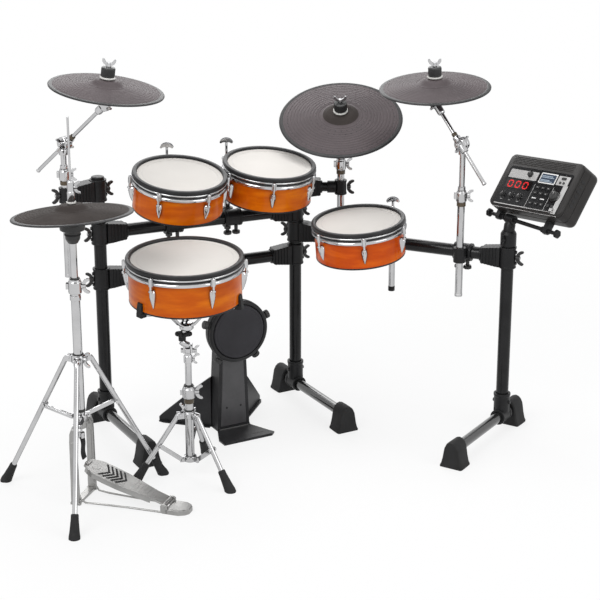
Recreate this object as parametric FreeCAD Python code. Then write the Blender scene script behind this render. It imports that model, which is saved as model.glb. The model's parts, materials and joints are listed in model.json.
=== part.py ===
import FreeCAD, Part
import math
import os

# Electronic drum kit: rack, three toms, snare on its stand, hi-hat, three cymbal pads, kick tower and module.
# Millimetres. X runs to the right as the viewer sees it, Y away from the viewer, Z up from the floor.
V = FreeCAD.Vector
UP = V(0, 0, 1)
RIGHT = V(1, 0, 0)
AWAY = V(0, 1, 0)


def beside(start, end, share, side):
    """Point beside a level run: at a share of its length, and a distance to its left."""
    along = (end - start).normalize()
    return start + (end - start) * share + UP.cross(along) * side



# Fits
clamp_gap = 0.25
pin_gap = 0.06
side_gap = 0.4

# Rack joint castings
joint_radius = 26.0
joint_height = 66.0
socket_length = 80.0
socket_width = 46.0
socket_end_height = 50.0
socket_rib = 3.0
socket_rib_shares = (0.55, 0.8)

# Rack posts, pipes and arms; the castings on the middle post stack up from the lower pipe
pipe_radius = 19.0
arm_radius = 15.0
rack_left = 600.0
rack_right = 622.0
rack_depth = 312.0
post_left = V(-rack_left, 56, 0)
post_centre = V(-15, rack_depth, 0)
post_right = V(rack_right, 32, 0)
lower_pipe_height = 488.0
joint_gap = 9.0
joint_touch = 1.0
left_arm_rise = 134.0
post_over_arm = 38.0
post_over_pipe = 77.0
right_pipe_height = lower_pipe_height + joint_height + joint_gap
upper_pipe_height = right_pipe_height + joint_height + joint_touch
left_arm_height = upper_pipe_height + left_arm_rise
ride_arm_height = upper_pipe_height + joint_height + joint_gap
post_left_top = left_arm_height + post_over_arm
post_centre_top = ride_arm_height + post_over_arm
post_right_top = right_pipe_height + post_over_pipe

# Rack feet
foot_bar_radius = 16.0
foot_bar_height = 52.0
foot_front = 310.0
foot_back = 78.0
foot_turn_left = 28.5
foot_turn_centre = 29.0
foot_turn_right = -32.0
foot_sleeve_radius = 24.5
foot_sleeve_top = 126.0
foot_hub_length = 56.0
shoe_width = 74.0
shoe_waist = 44.0
shoe_height = 84.0
shoe_depth = 62.0
shoe_wall = 14.0

# Wing bolts, round knobs and the clamps on the pipes
wing_span = 23.0
wing_height = 24.0
wing_hub = 8.0
wing_sheet = 6.0
wing_hub_sides = 8
knob_sides = 10
knob_radius = 13.0
knob_height = 11.0
knob_neck = 16.0
clamp_wall = 8.0
clamp_length = 56.0
clamp_height = 46.0

# Drums: measures shared by toms and snare
rim_width = 14.0
rim_height = 12.0
head_thickness = 4.0
shell_overlap = 7.0
shell_wall = 12.0
hoop_height = 22.0
lug_length = 38.0
lug_width = 15.0
lug_depth = 15.0
lug_drop = 42.0
lug_bolt_radius = 3.5
lug_ear = 13.0

# Toms: head centre, lean towards the viewer and to the right, and turn of the first lug
tom_head_radius = 127.0
tom_depth = 105.0
tom_lug_count = 6
tom_rod_radius = 9.5
tom_block_height = 30.0
tom_block_wall = 3.5
tom_block_drop = 52.0
tom_boss_reach = 23.0
tom_boss_radius = 10.0
tom_boss_width = 14.0
tom_ear = 7.0
tom_pin_radius = 5.0
t_handle_span = 20.0
t_handle_height = 9.0
t_handle_neck = 4.0
tom_1_rod = beside(post_left, post_centre, 0.363, 38.3)
tom_2_rod = beside(post_left, post_centre, 0.6646, 37.0)
tom_3_rod = beside(post_centre, post_right, 0.4504, 35.1)
tom_1 = dict(
    head=tom_1_rod + V(50, -168, upper_pipe_height + 189), lean=8.3, roll=5.7, lug=-114.0,
    rod=tom_1_rod, top=upper_pipe_height + 246, bottom=upper_pipe_height - 45)
tom_2 = dict(
    head=tom_2_rod + V(134, -113, upper_pipe_height + 188), lean=6.4, roll=5.0, lug=-87.0,
    rod=tom_2_rod, top=upper_pipe_height + 243, bottom=upper_pipe_height - 45)
tom_3 = dict(
    head=tom_3_rod + V(-112, -178, right_pipe_height + 108), lean=3.0, roll=-4.6, lug=-86.0,
    rod=tom_3_rod, top=right_pipe_height + 134, bottom=right_pipe_height - 167)

# Snare drum and its stand
snare_height = 663.0
snare_front = 300.0
snare = dict(head=V(-322, -snare_front, snare_height), lean=2.9, roll=0.0, lug=-123.0)
snare_head_radius = 152.5
snare_depth = 120.0
snare_lug_count = 6
snare_axis = V(-319, -snare_front, 0)
snare_tube_radius = 12.5
snare_collar_height = 36.0
snare_upper_radius = 9.5
snare_knuckle_radius = 13.0
snare_knuckle_width = 14.0
snare_fork_ear = 6.0
snare_fork_pin = 4.0
snare_stem_radius = 7.0
snare_wheel_radius = 24.0
snare_wheel_thickness = 12.0
basket_hub_drop = 187.0
snare_wheel_drop = 48.0
snare_tilt_drop = 87.0
snare_tube_drop = 127.0
snare_upper_overlap = 152.0
basket_hub_height = snare_height - basket_hub_drop
snare_wheel_height = basket_hub_height - snare_wheel_drop
snare_tilt_height = basket_hub_height - snare_tilt_drop
snare_tube_top = snare_tilt_height - snare_tube_drop
snare_upper_bottom = snare_tube_top - snare_upper_overlap
basket_hub_radius = 20.0
basket_hub_thickness = 22.0
basket_arm_turns = (-137.0, -17.0, 103.0)
basket_arm_radius = 5.0
basket_grip_width = 20.0
basket_grip_height = 26.0
basket_grip_depth = 12.0
snare_feet_radius = 165.0
snare_leg_turns = (77.0, 197.0, 317.0)
snare_pivot_height = 194.0
snare_boss_height = 55.0
snare_brace_share = 0.45

# Hi-hat stand, pedal and pad
hihat_left = 612.0
hihat_front = 445.0
hihat_axis = V(-hihat_left, -hihat_front, 0)
hihat_tube_radius = 12.5
hihat_collar_height = 40.0
hihat_upper_radius = 9.5
hihat_upper_wall = 3.0
hihat_sensor_height = 64.0
hihat_sensor_radius = 34.0
sensor_neck_share = 0.3
sensor_brim_share = 0.6
hihat_rod_radius = 3.0
hihat_rod_bottom = 190.0
hihat_clutch_radius = 9.0
hihat_clutch_height = 62.0
clutch_bolt_share = 0.7
hihat_nut_radius = 12.0
hihat_nut_height = 7.0
hihat_coupling_height = 16.0
hihat_pad_radius = 166.0
hihat_pad_height = 848.0
hihat_sensor_gap = 24.0
hihat_tube_drop = 218.0
hihat_upper_overlap = 130.0
hihat_rod_rise = 252.0
hihat_sensor_top = hihat_pad_height - hihat_sensor_gap
hihat_tube_top = hihat_pad_height - hihat_tube_drop
hihat_upper_bottom = hihat_tube_top - hihat_upper_overlap
hihat_rod_top = hihat_pad_height + hihat_rod_rise
hihat_pad_lean = -5.5
hihat_pad_roll = -3.6
hihat_feet_radius = 263.0
hihat_leg_turns = (-89.0, 36.0, 156.0)
hihat_pivot_height = 420.0
hihat_boss_height = 246.0
hihat_brace_share = 0.37
pedal_turn = -18.4
frame_half_width = 55.0
frame_bar_width = 22.0
frame_bar_thickness = 7.0
frame_top = 232.0
frame_bridge = 26.0
heel_distance = 254.0
heel_length = 72.0
heel_width = 66.0
heel_thickness = 14.0
heel_ear = 6.0
heel_pin_radius = 4.0
heel_pin_height = 20.0
heel_knuckle_radius = 7.0
board_toe_height = 104.0
board_toe_reach = 12.0
board_width = 84.0
board_toe_width = 46.0
board_thickness = 6.0
board_flange = 12.0
board_waist_share = 0.16
board_wide_share = 0.55
board_shoulder_share = 0.86
flange_start_share = 0.2
flange_end_share = 0.9
wire_radius = 3.0
strap_width = 22.0
strap_thickness = 4.0

# Tripod legs and braces
leg_radius = 7.0
leg_eye_radius = 8.5
leg_eye_thickness = 8.0
leg_eye_back = 5.0
leg_pin_radius = 3.0
leg_eye_neck = 14.0
brace_width = 13.0
brace_thickness = 4.0
brace_slot = 5.0
brace_end = 4.5
tripod_foot_length = 66.0
tripod_foot_top = 10.5
tripod_foot_bottom = 15.5
tripod_foot_cover = 42.0
collar_wall = 6.0
collar_height = 22.0
collar_ear = 5.0
collar_ear_share = 0.8
collar_bolt_turn = 60.0
slide_gap = 0.35
boss_wall = 6.0
boss_height = 16.0
boss_lug = 12.0

# Cymbal pads and their stands
cymbal_radius = 165.0
ride_radius = 190.5
bell_radius = 46.0
ride_bell_radius = 57.0
bell_rise = 13.0
pad_drop = 15.0
pad_thickness = 7.0
pad_hole_gap = 3.0
bell_crown_share = 0.6
pad_edge_share = 0.6
rock_pin_radius = 2.0
rock_pin_grip = 5.0
hub_radius = 20.0
hub_height = 28.0
felt_radius = 22.0
felt_height = 5.0
lower_felt_radius = 15.4
hub_post_radius = 6.0
wing_nut_rise = 4.0
cymbal_lower_radius = 11.0
cymbal_upper_radius = 8.5
cymbal_collar_radius = 16.0
cymbal_collar_height = 34.0
boom_radius = 5.5
boom_knuckle_radius = 16.0
boom_knuckle_width = 14.0
tilter_radius = 15.0
tilter_width = 16.0
rock_gap = 2.4
hub_drop = 62.0
boom_pin_radius = 4.0
crash_left_tube = post_left + V(-90, -56, 0)
crash_right_tube = beside(post_centre, post_right, 0.8005, -37.0)
ride_tube = post_centre + V(142, -2, 0)
crash_left = dict(
    tube=crash_left_tube, bottom=left_arm_height - 251, collar=left_arm_height + 62,
    pivot=left_arm_height + 154, tail=176.0,
    centre=crash_left_tube + V(147, -111, left_arm_height + 354), lean=2.3, roll=8.0)
crash_right = dict(
    tube=crash_right_tube, bottom=right_pipe_height - 129, collar=right_pipe_height + 183,
    pivot=right_pipe_height + 342, tail=140.0,
    centre=crash_right_tube + V(-83, 54, right_pipe_height + 513), lean=5.3, roll=-2.7)
ride = dict(
    tube=ride_tube, bottom=ride_arm_height - 105, collar=ride_arm_height + 73,
    pivot=ride_arm_height + 135, centre=ride_tube + V(-2, -15, ride_arm_height + 231), lean=24.2, roll=-2.4)

# Kick tower
kick_foot = V(-206, 47, 0)
kick_turn = 29.0
kick_width = 110.0
kick_top_width = 84.0
kick_depth = 60.0
kick_top_depth = 50.0
kick_sheet = 4.0
kick_height = 330.0
kick_plate_width = 172.0
kick_plate_length = 109.0
kick_plate_lip = 40.0
kick_plate_sheet = 5.0
kick_disc_height = 333.0
kick_rim_radius = 98.0
kick_pad_radius = 84.5
kick_rim_depth = 45.0
kick_pad_depth = 12.0
kick_pad_proud = 3.0
kick_lug_count = 5
kick_lug_width = 26.0
kick_lug_height = 17.0
kick_lug_depth = 28.0
kick_leg_length = 178.0
kick_leg_height = 167.0
kick_leg_toe = 20.0
kick_leg_turn = 45.0
kick_leg_flange = 36.0

# Sound module and its bracket
module_width = 300.0
module_length = 175.0
module_depth = 80.0
module_corner = 18.0
module_edge = 5.0
module_hinge_place = (-80.0, -104.0, -50.0)
module_hinge_shift = V(5, 4, 0)
module_turn = -53.2
module_face_turn = -57.4
module_roll = 5.2
module_pitch = 51.4
module_pivot_rise = 39.0
module_lug_width = 16.0
module_lug_radius = 11.0
module_lug_left = -48.0
module_lug_right = 150.0
panel_width = 258.0
panel_length = 128.0
panel_left = 3.0
panel_low = -18.0
panel_thickness = 1.6
screen_width = 66.0
screen_length = 34.0
screen_place = (39.0, 40.0)
window_width = 106.0
window_length = 28.0
window_place = (-65.0, 6.0)
glass_proud = 1.0
trim_knob_radius = 8.0
trim_knob_height = 9.0
trim_knob_sides = 12
trim_knob_places = ((-106.0, -32.0), (-72.0, -32.0), (-38.0, -32.0))
dial_radius = 16.0
dial_height = 12.0
dial_place = (96.0, -12.0)
volume_radius = 9.5
volume_height = 9.0
volume_place = (-36.0, 44.0)
button_width = 14.0
button_length = 8.0
button_proud = 2.2
button_travel = 1.2
button_columns = (16.0, 38.0, 60.0)
button_rows = (8.0, -10.0, -44.0)
bracket_bar_radius = 6.0
bracket_bar_overhang = 14.0
bracket_cap_wall = 5.0
bracket_cap_height = 40.0
bracket_neck_radius = 11.0


def flat(angle):
    """Level direction at an angle from X, anticlockwise seen from above."""
    return V(math.cos(math.radians(angle)), math.sin(math.radians(angle)), 0)


def unit(vector):
    return V(vector).normalize()


def raised(point, height):
    return V(point.x, point.y, height)


def rod(start, end, radius):
    return Part.makeCylinder(radius, (end - start).Length, start, end - start)


def pipe(start, end, radius, bore):
    return rod(start, end, radius).cut(rod(start, end, bore))


def block(x, y, z):
    """Box from three (low, high) pairs."""
    return Part.makeBox(x[1] - x[0], y[1] - y[0], z[1] - z[0], V(x[0], y[0], z[0]))


def prism(points, low, high):
    """Outline of (x, y) points raised from low to high along Z."""
    outline = [V(x, y, low) for x, y in points]
    return Part.Face(Part.makePolygon(outline + outline[:1])).extrude(V(0, 0, high - low))


def side_prism(points, width):
    """Outline of (x, z) points, as wide as given along Y and centred on it."""
    outline = [V(x, -width / 2, z) for x, z in points]
    return Part.Face(Part.makePolygon(outline + outline[:1])).extrude(V(0, width, 0))


def turned(profile):
    """Closed outline of (radius, height) points turned round Z."""
    outline = [V(r, 0, z) for r, z in profile]
    return Part.Face(Part.makePolygon(outline + outline[:1])).revolve(V(0, 0, 0), UP, 360)


def stance(origin, along, across):
    """Placement whose Z runs along one direction and whose X leans to another."""
    z = unit(along)
    x = unit(across - z * across.dot(z))
    y = z.cross(x)
    return FreeCAD.Placement(FreeCAD.Matrix(
        x.x, y.x, z.x, origin.x, x.y, y.y, z.y, origin.y, x.z, y.z, z.z, origin.z, 0, 0, 0, 1))


def put(shape, place):
    """The shape moved from its own frame to a placement."""
    moved = shape.copy()
    moved.Placement = place.multiply(shape.Placement)
    return moved


def fused(shapes):
    return shapes[0].multiFuse(shapes[1:]).removeSplitter()


def group(shapes):
    return Part.makeCompound(shapes)


def polygon(radius, count):
    """Corners of a regular outline with its flats square to the axes."""
    turns = [math.pi * (2 * i + 1) / count for i in range(count)]
    return [(radius * math.cos(turn), radius * math.sin(turn)) for turn in turns]


def hex_rod(start, end, radius, across):
    return put(prism(polygon(radius, 6), 0, (end - start).Length), stance(start, end - start, across))


def wing(foot, outward, across):
    """Wing bolt or wing nut: a hub with two wings, standing outward from its foot."""
    tip = wing_span - wing_hub / 2
    outline = [(-wing_hub, 0), (wing_hub, 0), (wing_span, wing_height / 2), (tip, wing_height),
               (wing_hub / 2, wing_height / 2), (-wing_hub / 2, wing_height / 2), (-tip, wing_height),
               (-wing_span, wing_height / 2)]
    hub = prism(polygon(wing_hub, wing_hub_sides), 0, wing_height / 2)
    return put(fused([side_prism(outline, wing_sheet), hub]), stance(foot, outward, across))


def knob(foot, outward):
    """Lobed knob on a neck."""
    neck = prism(polygon(knob_radius / 2, wing_hub_sides), 0, knob_neck)
    head = prism(polygon(knob_radius, knob_sides), knob_neck, knob_neck + knob_height)
    return put(fused([neck, head]), stance(foot, outward, RIGHT if abs(outward.x) < 0.9 else UP))


def pipe_start():
    """How far from a post's axis a pipe ends inside its casting."""
    return joint_radius + socket_rib


def post_foot():
    return foot_bar_height + foot_bar_radius + clamp_wall


def rack_runs():
    """Level runs of the rack: (start post, end point, height, radius)."""
    return [(post_left, post_centre, upper_pipe_height, pipe_radius),
            (post_left, post_centre, lower_pipe_height, pipe_radius),
            (post_centre, post_right, right_pipe_height, pipe_radius)]


def rack_arms():
    """Short arms at the post tops: (post, cymbal tube, height)."""
    return [(post_left, crash_left["tube"], left_arm_height), (post_centre, ride["tube"], ride_arm_height)]


def rack_feet():
    """Each post with its top and the level direction of its foot bar's front end."""
    return [(post_left, post_left_top, flat(foot_turn_left - 90)),
            (post_centre, post_centre_top, flat(foot_turn_centre - 90)),
            (post_right, post_right_top, flat(foot_turn_right - 90))]


def rack_legs():
    parts = []
    reach = shoe_depth / 2 - shoe_wall
    for post, top, front in rack_feet():
        parts.append(rod(raised(post, post_foot()), raised(post, top), pipe_radius))
        axle = raised(post, foot_bar_height)
        back = axle - front * (foot_back + reach)
        parts.append(rod(back, axle + front * (foot_front + reach), foot_bar_radius))
    return group(parts)


def shoe(centre, outward):
    """Arched rubber shoe, flared towards the floor, with a socket for the foot bar."""
    half = shoe_width / 2
    waist = shoe_waist / 2
    brow = shoe_height - waist
    lip = shoe_wall / 2
    corners = [V(0, waist, brow), V(0, half, lip), V(0, half, 0), V(0, -half, 0), V(0, -half, lip),
               V(0, -waist, brow)]
    edges = [Part.makeLine(a, b) for a, b in zip(corners, corners[1:])]
    edges.append(Part.Arc(corners[-1], V(0, 0, shoe_height), corners[0]).toShape())
    arch = Part.Face(Part.Wire(edges)).extrude(V(shoe_depth, 0, 0))
    arch.translate(V(-shoe_depth / 2, 0, 0))
    socket = rod(V(-shoe_depth, 0, foot_bar_height), V(shoe_depth / 2 - shoe_wall, 0, foot_bar_height),
                 foot_bar_radius + clamp_gap)
    return put(arch.cut(socket), stance(raised(centre, 0), UP, outward))


def rack_rubber_feet():
    parts = []
    for post, top, front in rack_feet():
        parts.append(shoe(post + front * foot_front, front))
        parts.append(shoe(post - front * foot_back, front * -1))
    return group(parts)


def rack_pipes():
    parts = []
    for start, end, height, radius in rack_runs():
        along = unit(end - start) * pipe_start()
        parts.append(rod(raised(start + along, height), raised(end - along, height), radius))
    for post, tube, height in rack_arms():
        along = unit(tube - post)
        inner = raised(post + along * pipe_start(), height)
        outer = raised(tube - along * (cymbal_lower_radius + clamp_wall), height)
        parts.append(rod(inner, outer, arm_radius))
    return group(parts)


def joint_casting(post, height, along, bore):
    """Sleeve round a post with a tapered, ribbed socket for a level pipe."""
    top = joint_height / 2
    end = socket_end_height / 2
    taper = side_prism([(0, top), (joint_radius, top), (socket_length, end), (socket_length, -end),
                        (joint_radius, -top), (0, -top)], socket_width)
    rib_half = socket_width / 2 + socket_rib
    ribs = [block((x - socket_rib, x + socket_rib), (-rib_half, rib_half), (-end, end))
            for x in (socket_length * share for share in socket_rib_shares)]
    sleeve = Part.makeCylinder(joint_radius, joint_height, V(0, 0, -top))
    body = fused([sleeve, taper] + ribs)
    post_bore = Part.makeCylinder(pipe_radius + clamp_gap, joint_height * 2, V(0, 0, -joint_height))
    pipe_bore = rod(V(pipe_start(), 0, 0), V(socket_length * 2, 0, 0), bore + clamp_gap)
    return put(body.cut(post_bore).cut(pipe_bore), stance(raised(post, height), UP, along))


def foot_casting(post, front):
    """Upright sleeve for a post on a level hub for the foot bar."""
    hub = front * (foot_hub_length / 2)
    axle = raised(post, foot_bar_height)
    body = fused([rod(axle, raised(post, foot_sleeve_top), foot_sleeve_radius),
                  rod(axle - hub, axle + hub, foot_bar_radius + clamp_wall)])
    post_bore = rod(raised(post, post_foot()), raised(post, foot_sleeve_top * 2), pipe_radius + clamp_gap)
    bar_bore = rod(axle - hub * 2, axle + hub * 2, foot_bar_radius + clamp_gap)
    return body.cut(post_bore).cut(bar_bore)


def arm_clamp(post, tube, height):
    """Clamp at the end of a top arm, holding an upright cymbal tube."""
    inward = unit(post - tube)
    low = raised(tube, height - clamp_height / 2)
    high = raised(tube, height + clamp_height / 2)
    inner = raised(tube, height)
    mouth = inner + inward * (cymbal_lower_radius + clamp_wall)
    body = fused([rod(low, high, cymbal_lower_radius + clamp_wall),
                  rod(inner, mouth + inward * clamp_height / 2, arm_radius + clamp_wall / 2)])
    return body.cut(rod(low - UP, high + UP, cymbal_lower_radius + clamp_gap)).cut(
        rod(mouth, mouth + inward * clamp_length, arm_radius + clamp_gap))


def pipe_point(start, end, point):
    """Foot of the level perpendicular from a point to a pipe's line."""
    along = unit(end - start)
    return start + along * (point - start).dot(along)


def pipe_clamp(start, end, height, held, held_radius):
    """Clamp round a level pipe that holds an upright rod beside it."""
    base = pipe_point(start, end, held)
    along = unit(end - start)
    sideways = held - base
    half = clamp_length / 2
    web = put(block((0, sideways.Length), (-half / 2, half / 2), (-clamp_height / 3, clamp_height / 3)),
              stance(raised(base, height), UP, sideways))
    low = raised(held, height - clamp_height / 2)
    high = raised(held, height + clamp_height / 2)
    middle = raised(base, height)
    body = fused([rod(middle - along * half, middle + along * half, pipe_radius + clamp_wall),
                  rod(low, high, held_radius + clamp_wall), web])
    pipe_bore = rod(middle - along * clamp_length, middle + along * clamp_length, pipe_radius + clamp_gap)
    return body.cut(pipe_bore).cut(rod(low - UP, high + UP, held_radius + clamp_gap))


def held_rods():
    """Upright rods clamped to the pipes: (pipe start, pipe end, height, rod, radius)."""
    upper = (post_left, post_centre, upper_pipe_height)
    lower = (post_centre, post_right, right_pipe_height)
    return [upper + (tom_1["rod"], tom_rod_radius), upper + (tom_2["rod"], tom_rod_radius),
            lower + (tom_3["rod"], tom_rod_radius), lower + (crash_right["tube"], cymbal_lower_radius)]


def rack_joints():
    parts = [foot_casting(post, front) for post, top, front in rack_feet()]
    for start, end, height, radius in rack_runs():
        along = unit(end - start)
        parts.append(joint_casting(start, height, along, radius))
        parts.append(joint_casting(end, height, along * -1, radius))
    for post, tube, height in rack_arms():
        casting = joint_casting(post, height, unit(tube - post), arm_radius)
        parts.append(fused([casting, arm_clamp(post, tube, height)]))
    parts += [pipe_clamp(*held) for held in held_rods()]
    return group(parts)


def rack_wing_bolts():
    parts = []
    for start, end, height, radius in rack_runs():
        along = unit(end - start)
        parts.append(wing(raised(start - along * joint_radius, height), along * -1, UP))
        parts.append(wing(raised(end + along * joint_radius, height), along, UP))
    for post, tube, height in rack_arms():
        along = unit(tube - post)
        parts.append(wing(raised(post - along * joint_radius, height), along * -1, UP))
        reach = cymbal_lower_radius + clamp_wall
        parts.append(wing(raised(tube + along * reach, height), along, UP))
    for start, end, height, held, radius in held_rods():
        base = pipe_point(start, end, held)
        along = unit(end - start) * clamp_length / 4
        below = height - pipe_radius - clamp_wall
        parts.append(knob(raised(base + along, below), UP * -1))
        parts.append(knob(raised(base - along, below), UP * -1))
    return group(parts)


def lean_axis(piece):
    """Upward axis of a drum or pad that leans towards the viewer and rolls to the right."""
    return unit(V(math.tan(math.radians(piece["roll"])), -math.tan(math.radians(piece["lean"])), 1))


def drum_stance(drum):
    return stance(drum["head"], lean_axis(drum), RIGHT)


def ring(inner, outer, low, high):
    return turned([(inner, low), (outer, low), (outer, high), (inner, high)])


def drum_lug(angle, shell_radius, hoop_radius):
    """Tapered lug on the wood ring, its tension bolt and the ear on the hoop, as one casting."""
    hoop_low = -head_thickness - hoop_height
    ear_top = hoop_low + lug_ear
    half = lug_width / 2
    bolt_x = hoop_radius + lug_depth / 3
    outer = shell_radius + lug_depth
    lug_top = -lug_drop
    lug_end = lug_top - lug_length
    body = side_prism([(shell_radius, lug_top), (outer - lug_bolt_radius, lug_top), (outer, lug_top - lug_ear),
                       (shell_radius + lug_depth / 2, lug_end), (shell_radius, lug_end)], lug_width)
    cheek = prism([(shell_radius, -half), (outer, -half / 2), (outer, half / 2), (shell_radius, half)],
                  lug_end, lug_top)
    ear = block((hoop_radius, hoop_radius + lug_depth / 2), (-half, half), (hoop_low, ear_top))
    bolt = hex_rod(V(bolt_x, 0, lug_top - lug_ear), V(bolt_x, 0, ear_top), lug_bolt_radius, RIGHT)
    lug = fused([body.common(cheek), ear, bolt])
    return put(lug, FreeCAD.Placement(V(0, 0, 0), FreeCAD.Rotation(UP, angle)))


def drum_nodes(name, drum, head_radius, depth, lug_count, extra_hardware):
    """Wood ring, head, rubber rim and chrome hardware of one drum, head centre at the frame's origin."""
    shell_radius = head_radius + shell_overlap
    hoop_radius = head_radius + rim_width
    place = drum_stance(drum)
    hoop = ring(shell_radius + clamp_gap, hoop_radius, -head_thickness - hoop_height, -head_thickness)
    turns = [drum["lug"] + 360.0 * i / lug_count for i in range(lug_count)]
    lugs = [drum_lug(turn, shell_radius, hoop_radius) for turn in turns]
    head = Part.makeCylinder(head_radius - clamp_gap, head_thickness, V(0, 0, -head_thickness))
    rim = ring(head_radius, hoop_radius, -head_thickness, rim_height - head_thickness)
    return {
        name + "_shell": put(ring(shell_radius - shell_wall, shell_radius, -depth, -head_thickness), place),
        name + "_head": put(head, place),
        name + "_rim": put(rim, place),
        name + "_hardware": group([put(piece, place) for piece in [hoop] + lugs] + extra_hardware)}


def tom_pin(tom):
    """Centre of a tom's tilt pin, level with the bracket, and the level direction from rod to drum."""
    axis = lean_axis(tom)
    away = raised(tom["rod"] - tom["head"], 0)
    plane = tom["head"].z - (axis.x * away.x + axis.y * away.y) / axis.z
    inward = unit(away * -1)
    return raised(tom["rod"], plane - tom_block_drop) + inward * tom_boss_reach, inward


def tom_holder(tom):
    """Upright rod with its T-handle, the black end cap and the block that carries the tilt pin."""
    pin, inward = tom_pin(tom)
    middle = raised(tom["rod"], pin.z)
    half = tom_block_height / 2
    across = UP.cross(inward)
    rod_top = pin.z + half + t_handle_height
    handle_low = tom["top"] - t_handle_height
    boss = rod(pin - across * tom_boss_width / 2, pin + across * tom_boss_width / 2, tom_boss_radius)
    neck = put(block((0, tom_boss_reach), (-tom_boss_width / 2, tom_boss_width / 2),
                     (-tom_boss_radius, tom_boss_radius)), stance(middle, UP, inward))
    sleeve = rod(middle - UP * half, middle + UP * half, tom_rod_radius + tom_block_wall)
    stem = rod(raised(tom["rod"], tom["bottom"]), raised(tom["rod"], rod_top), tom_rod_radius)
    screw_top = tom["top"] - t_handle_height / 2
    screw = rod(raised(tom["rod"], rod_top), raised(tom["rod"], screw_top), t_handle_neck)
    span = t_handle_span
    bar = side_prism([(-span, -t_handle_height / 2), (-span / 2, t_handle_height), (span / 2, t_handle_height),
                      (span, -t_handle_height / 2), (span / 3, t_handle_height / 3),
                      (-span / 3, t_handle_height / 3)], t_handle_height)
    bar = put(bar, stance(raised(tom["rod"], handle_low), UP, RIGHT))
    body = fused([stem, sleeve, neck, boss, screw, bar])
    return body.cut(rod(pin - across * clamp_length, pin + across * clamp_length, tom_pin_radius + pin_gap))


def tom_bracket(tom):
    """Two ears and a tilt pin that carry a tom on its holder, fitted to the drum's wood ring."""
    pin, inward = tom_pin(tom)
    across = UP.cross(inward)
    inner = tom_boss_width / 2 + side_gap
    outer = inner + tom_ear
    reach = raised(tom["head"] - pin, 0).Length - tom_head_radius / 2
    plate_start = raised(tom["head"] - pin, 0).Length - tom_head_radius - shell_overlap - tom_ear
    half = tom_boss_radius
    ears = [block((-half, reach), low_high, (-half, half)) for low_high in ((-outer, -inner), (inner, outer))]
    plate = block((max(plate_start, half + side_gap), reach), (-outer, outer), (-half, half))
    body = fused([put(piece, stance(pin, UP, inward)) for piece in ears + [plate]]
                 + [rod(pin - across * outer, pin + across * outer, tom_pin_radius)])
    room = Part.makeCylinder(tom_head_radius + shell_overlap, tom_depth * 2, V(0, 0, -tom_depth * 1.5))
    return body.cut(put(room, drum_stance(tom)))


def toms():
    kit = {}
    for name, tom in (("tom_1", tom_1), ("tom_2", tom_2), ("tom_3", tom_3)):
        kit.update(drum_nodes(name, tom, tom_head_radius, tom_depth, tom_lug_count, [tom_bracket(tom)]))
    kit["tom_holders"] = group([tom_holder(tom) for tom in (tom_1, tom_2, tom_3)])
    return kit


def snare_tripod():
    return dict(axis=snare_axis, tube=snare_tube_radius, feet=snare_feet_radius, turns=snare_leg_turns,
                pivot=snare_pivot_height, boss=snare_boss_height, share=snare_brace_share)


def hihat_tripod():
    return dict(axis=hihat_axis, tube=hihat_tube_radius, feet=hihat_feet_radius, turns=hihat_leg_turns,
                pivot=hihat_pivot_height, boss=hihat_boss_height, share=hihat_brace_share)


def tripod_points(tripod):
    """Pivot, foot, brace pin and boss pin of one leg, in its upright plane (X outward, Z up)."""
    pivot = V(tripod["tube"] + slide_gap + collar_wall + leg_eye_radius + side_gap, 0, tripod["pivot"])
    foot = V(tripod["feet"], 0, 0)
    brace = pivot + (foot - pivot) * tripod["share"]
    boss = V(tripod["tube"] + boss_wall + boss_lug / 2, 0, tripod["boss"])
    return pivot, foot, brace, boss


def leg_stance(tripod, turn):
    return stance(tripod["axis"], UP, flat(turn))


def brace_offset():
    """Sideways distance from a leg's middle to the near face of its brace."""
    return leg_radius + side_gap


def tripod_leg(tripod, turn):
    """One leg with its eye and brace pin, and the rubber foot on its end."""
    pivot, foot, brace, boss = tripod_points(tripod)
    along = unit(foot - pivot)
    length = (foot - pivot).Length
    half = leg_eye_thickness / 2
    eye = put(block((-half, half), (-leg_radius, leg_radius), (-leg_eye_back, leg_eye_neck)),
              stance(pivot, along, AWAY))
    cap = length - tripod_foot_length
    stem = rod(pivot + along * leg_eye_neck, pivot + along * (cap + tripod_foot_cover), leg_radius)
    pin = rod(brace, brace + AWAY * (brace_offset() + brace_thickness + side_gap), leg_pin_radius)
    hole = rod(pivot - AWAY * leg_eye_radius, pivot + AWAY * leg_eye_radius, leg_pin_radius + pin_gap)
    leg = fused([eye, stem, pin]).cut(hole)
    sole = tripod_foot_length + tripod_foot_bottom
    rubber = Part.makeCone(tripod_foot_top, tripod_foot_bottom, sole, pivot + along * cap, along)
    below = block((-length, length * 2), (-length, length), (-length, 0))
    socket = rod(pivot + along * cap, pivot + along * (cap + tripod_foot_cover), leg_radius + clamp_gap)
    rubber = rubber.cut(below).cut(socket)
    return group([put(leg, leg_stance(tripod, turn)), put(rubber, leg_stance(tripod, turn))])


def tripod_brace(tripod, turn):
    """Flat brace beside a leg, from the boss on the tube to the leg's pin, with a slotted end at the leg."""
    pivot, foot, brace, boss = tripod_points(tripod)
    along = unit(brace - boss)
    length = (brace - boss).Length
    near = brace_offset()
    far = near + brace_thickness
    half = brace_width / 2
    bar = block((near, far), (-half, half), (-brace_end, length + half + brace_slot / 2))
    hole = Part.makeCylinder(leg_pin_radius + pin_gap, far * 2, V(0, 0, 0), RIGHT)
    slot_half = leg_pin_radius + side_gap
    slot_reach = slot_half + brace_slot / 2
    slot = block((0, far * 2), (-slot_half, slot_half), (length - slot_reach, length + slot_reach))
    bar = bar.cut(hole).cut(slot)
    return put(put(bar, stance(boss, along, AWAY)), leg_stance(tripod, turn))


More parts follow.
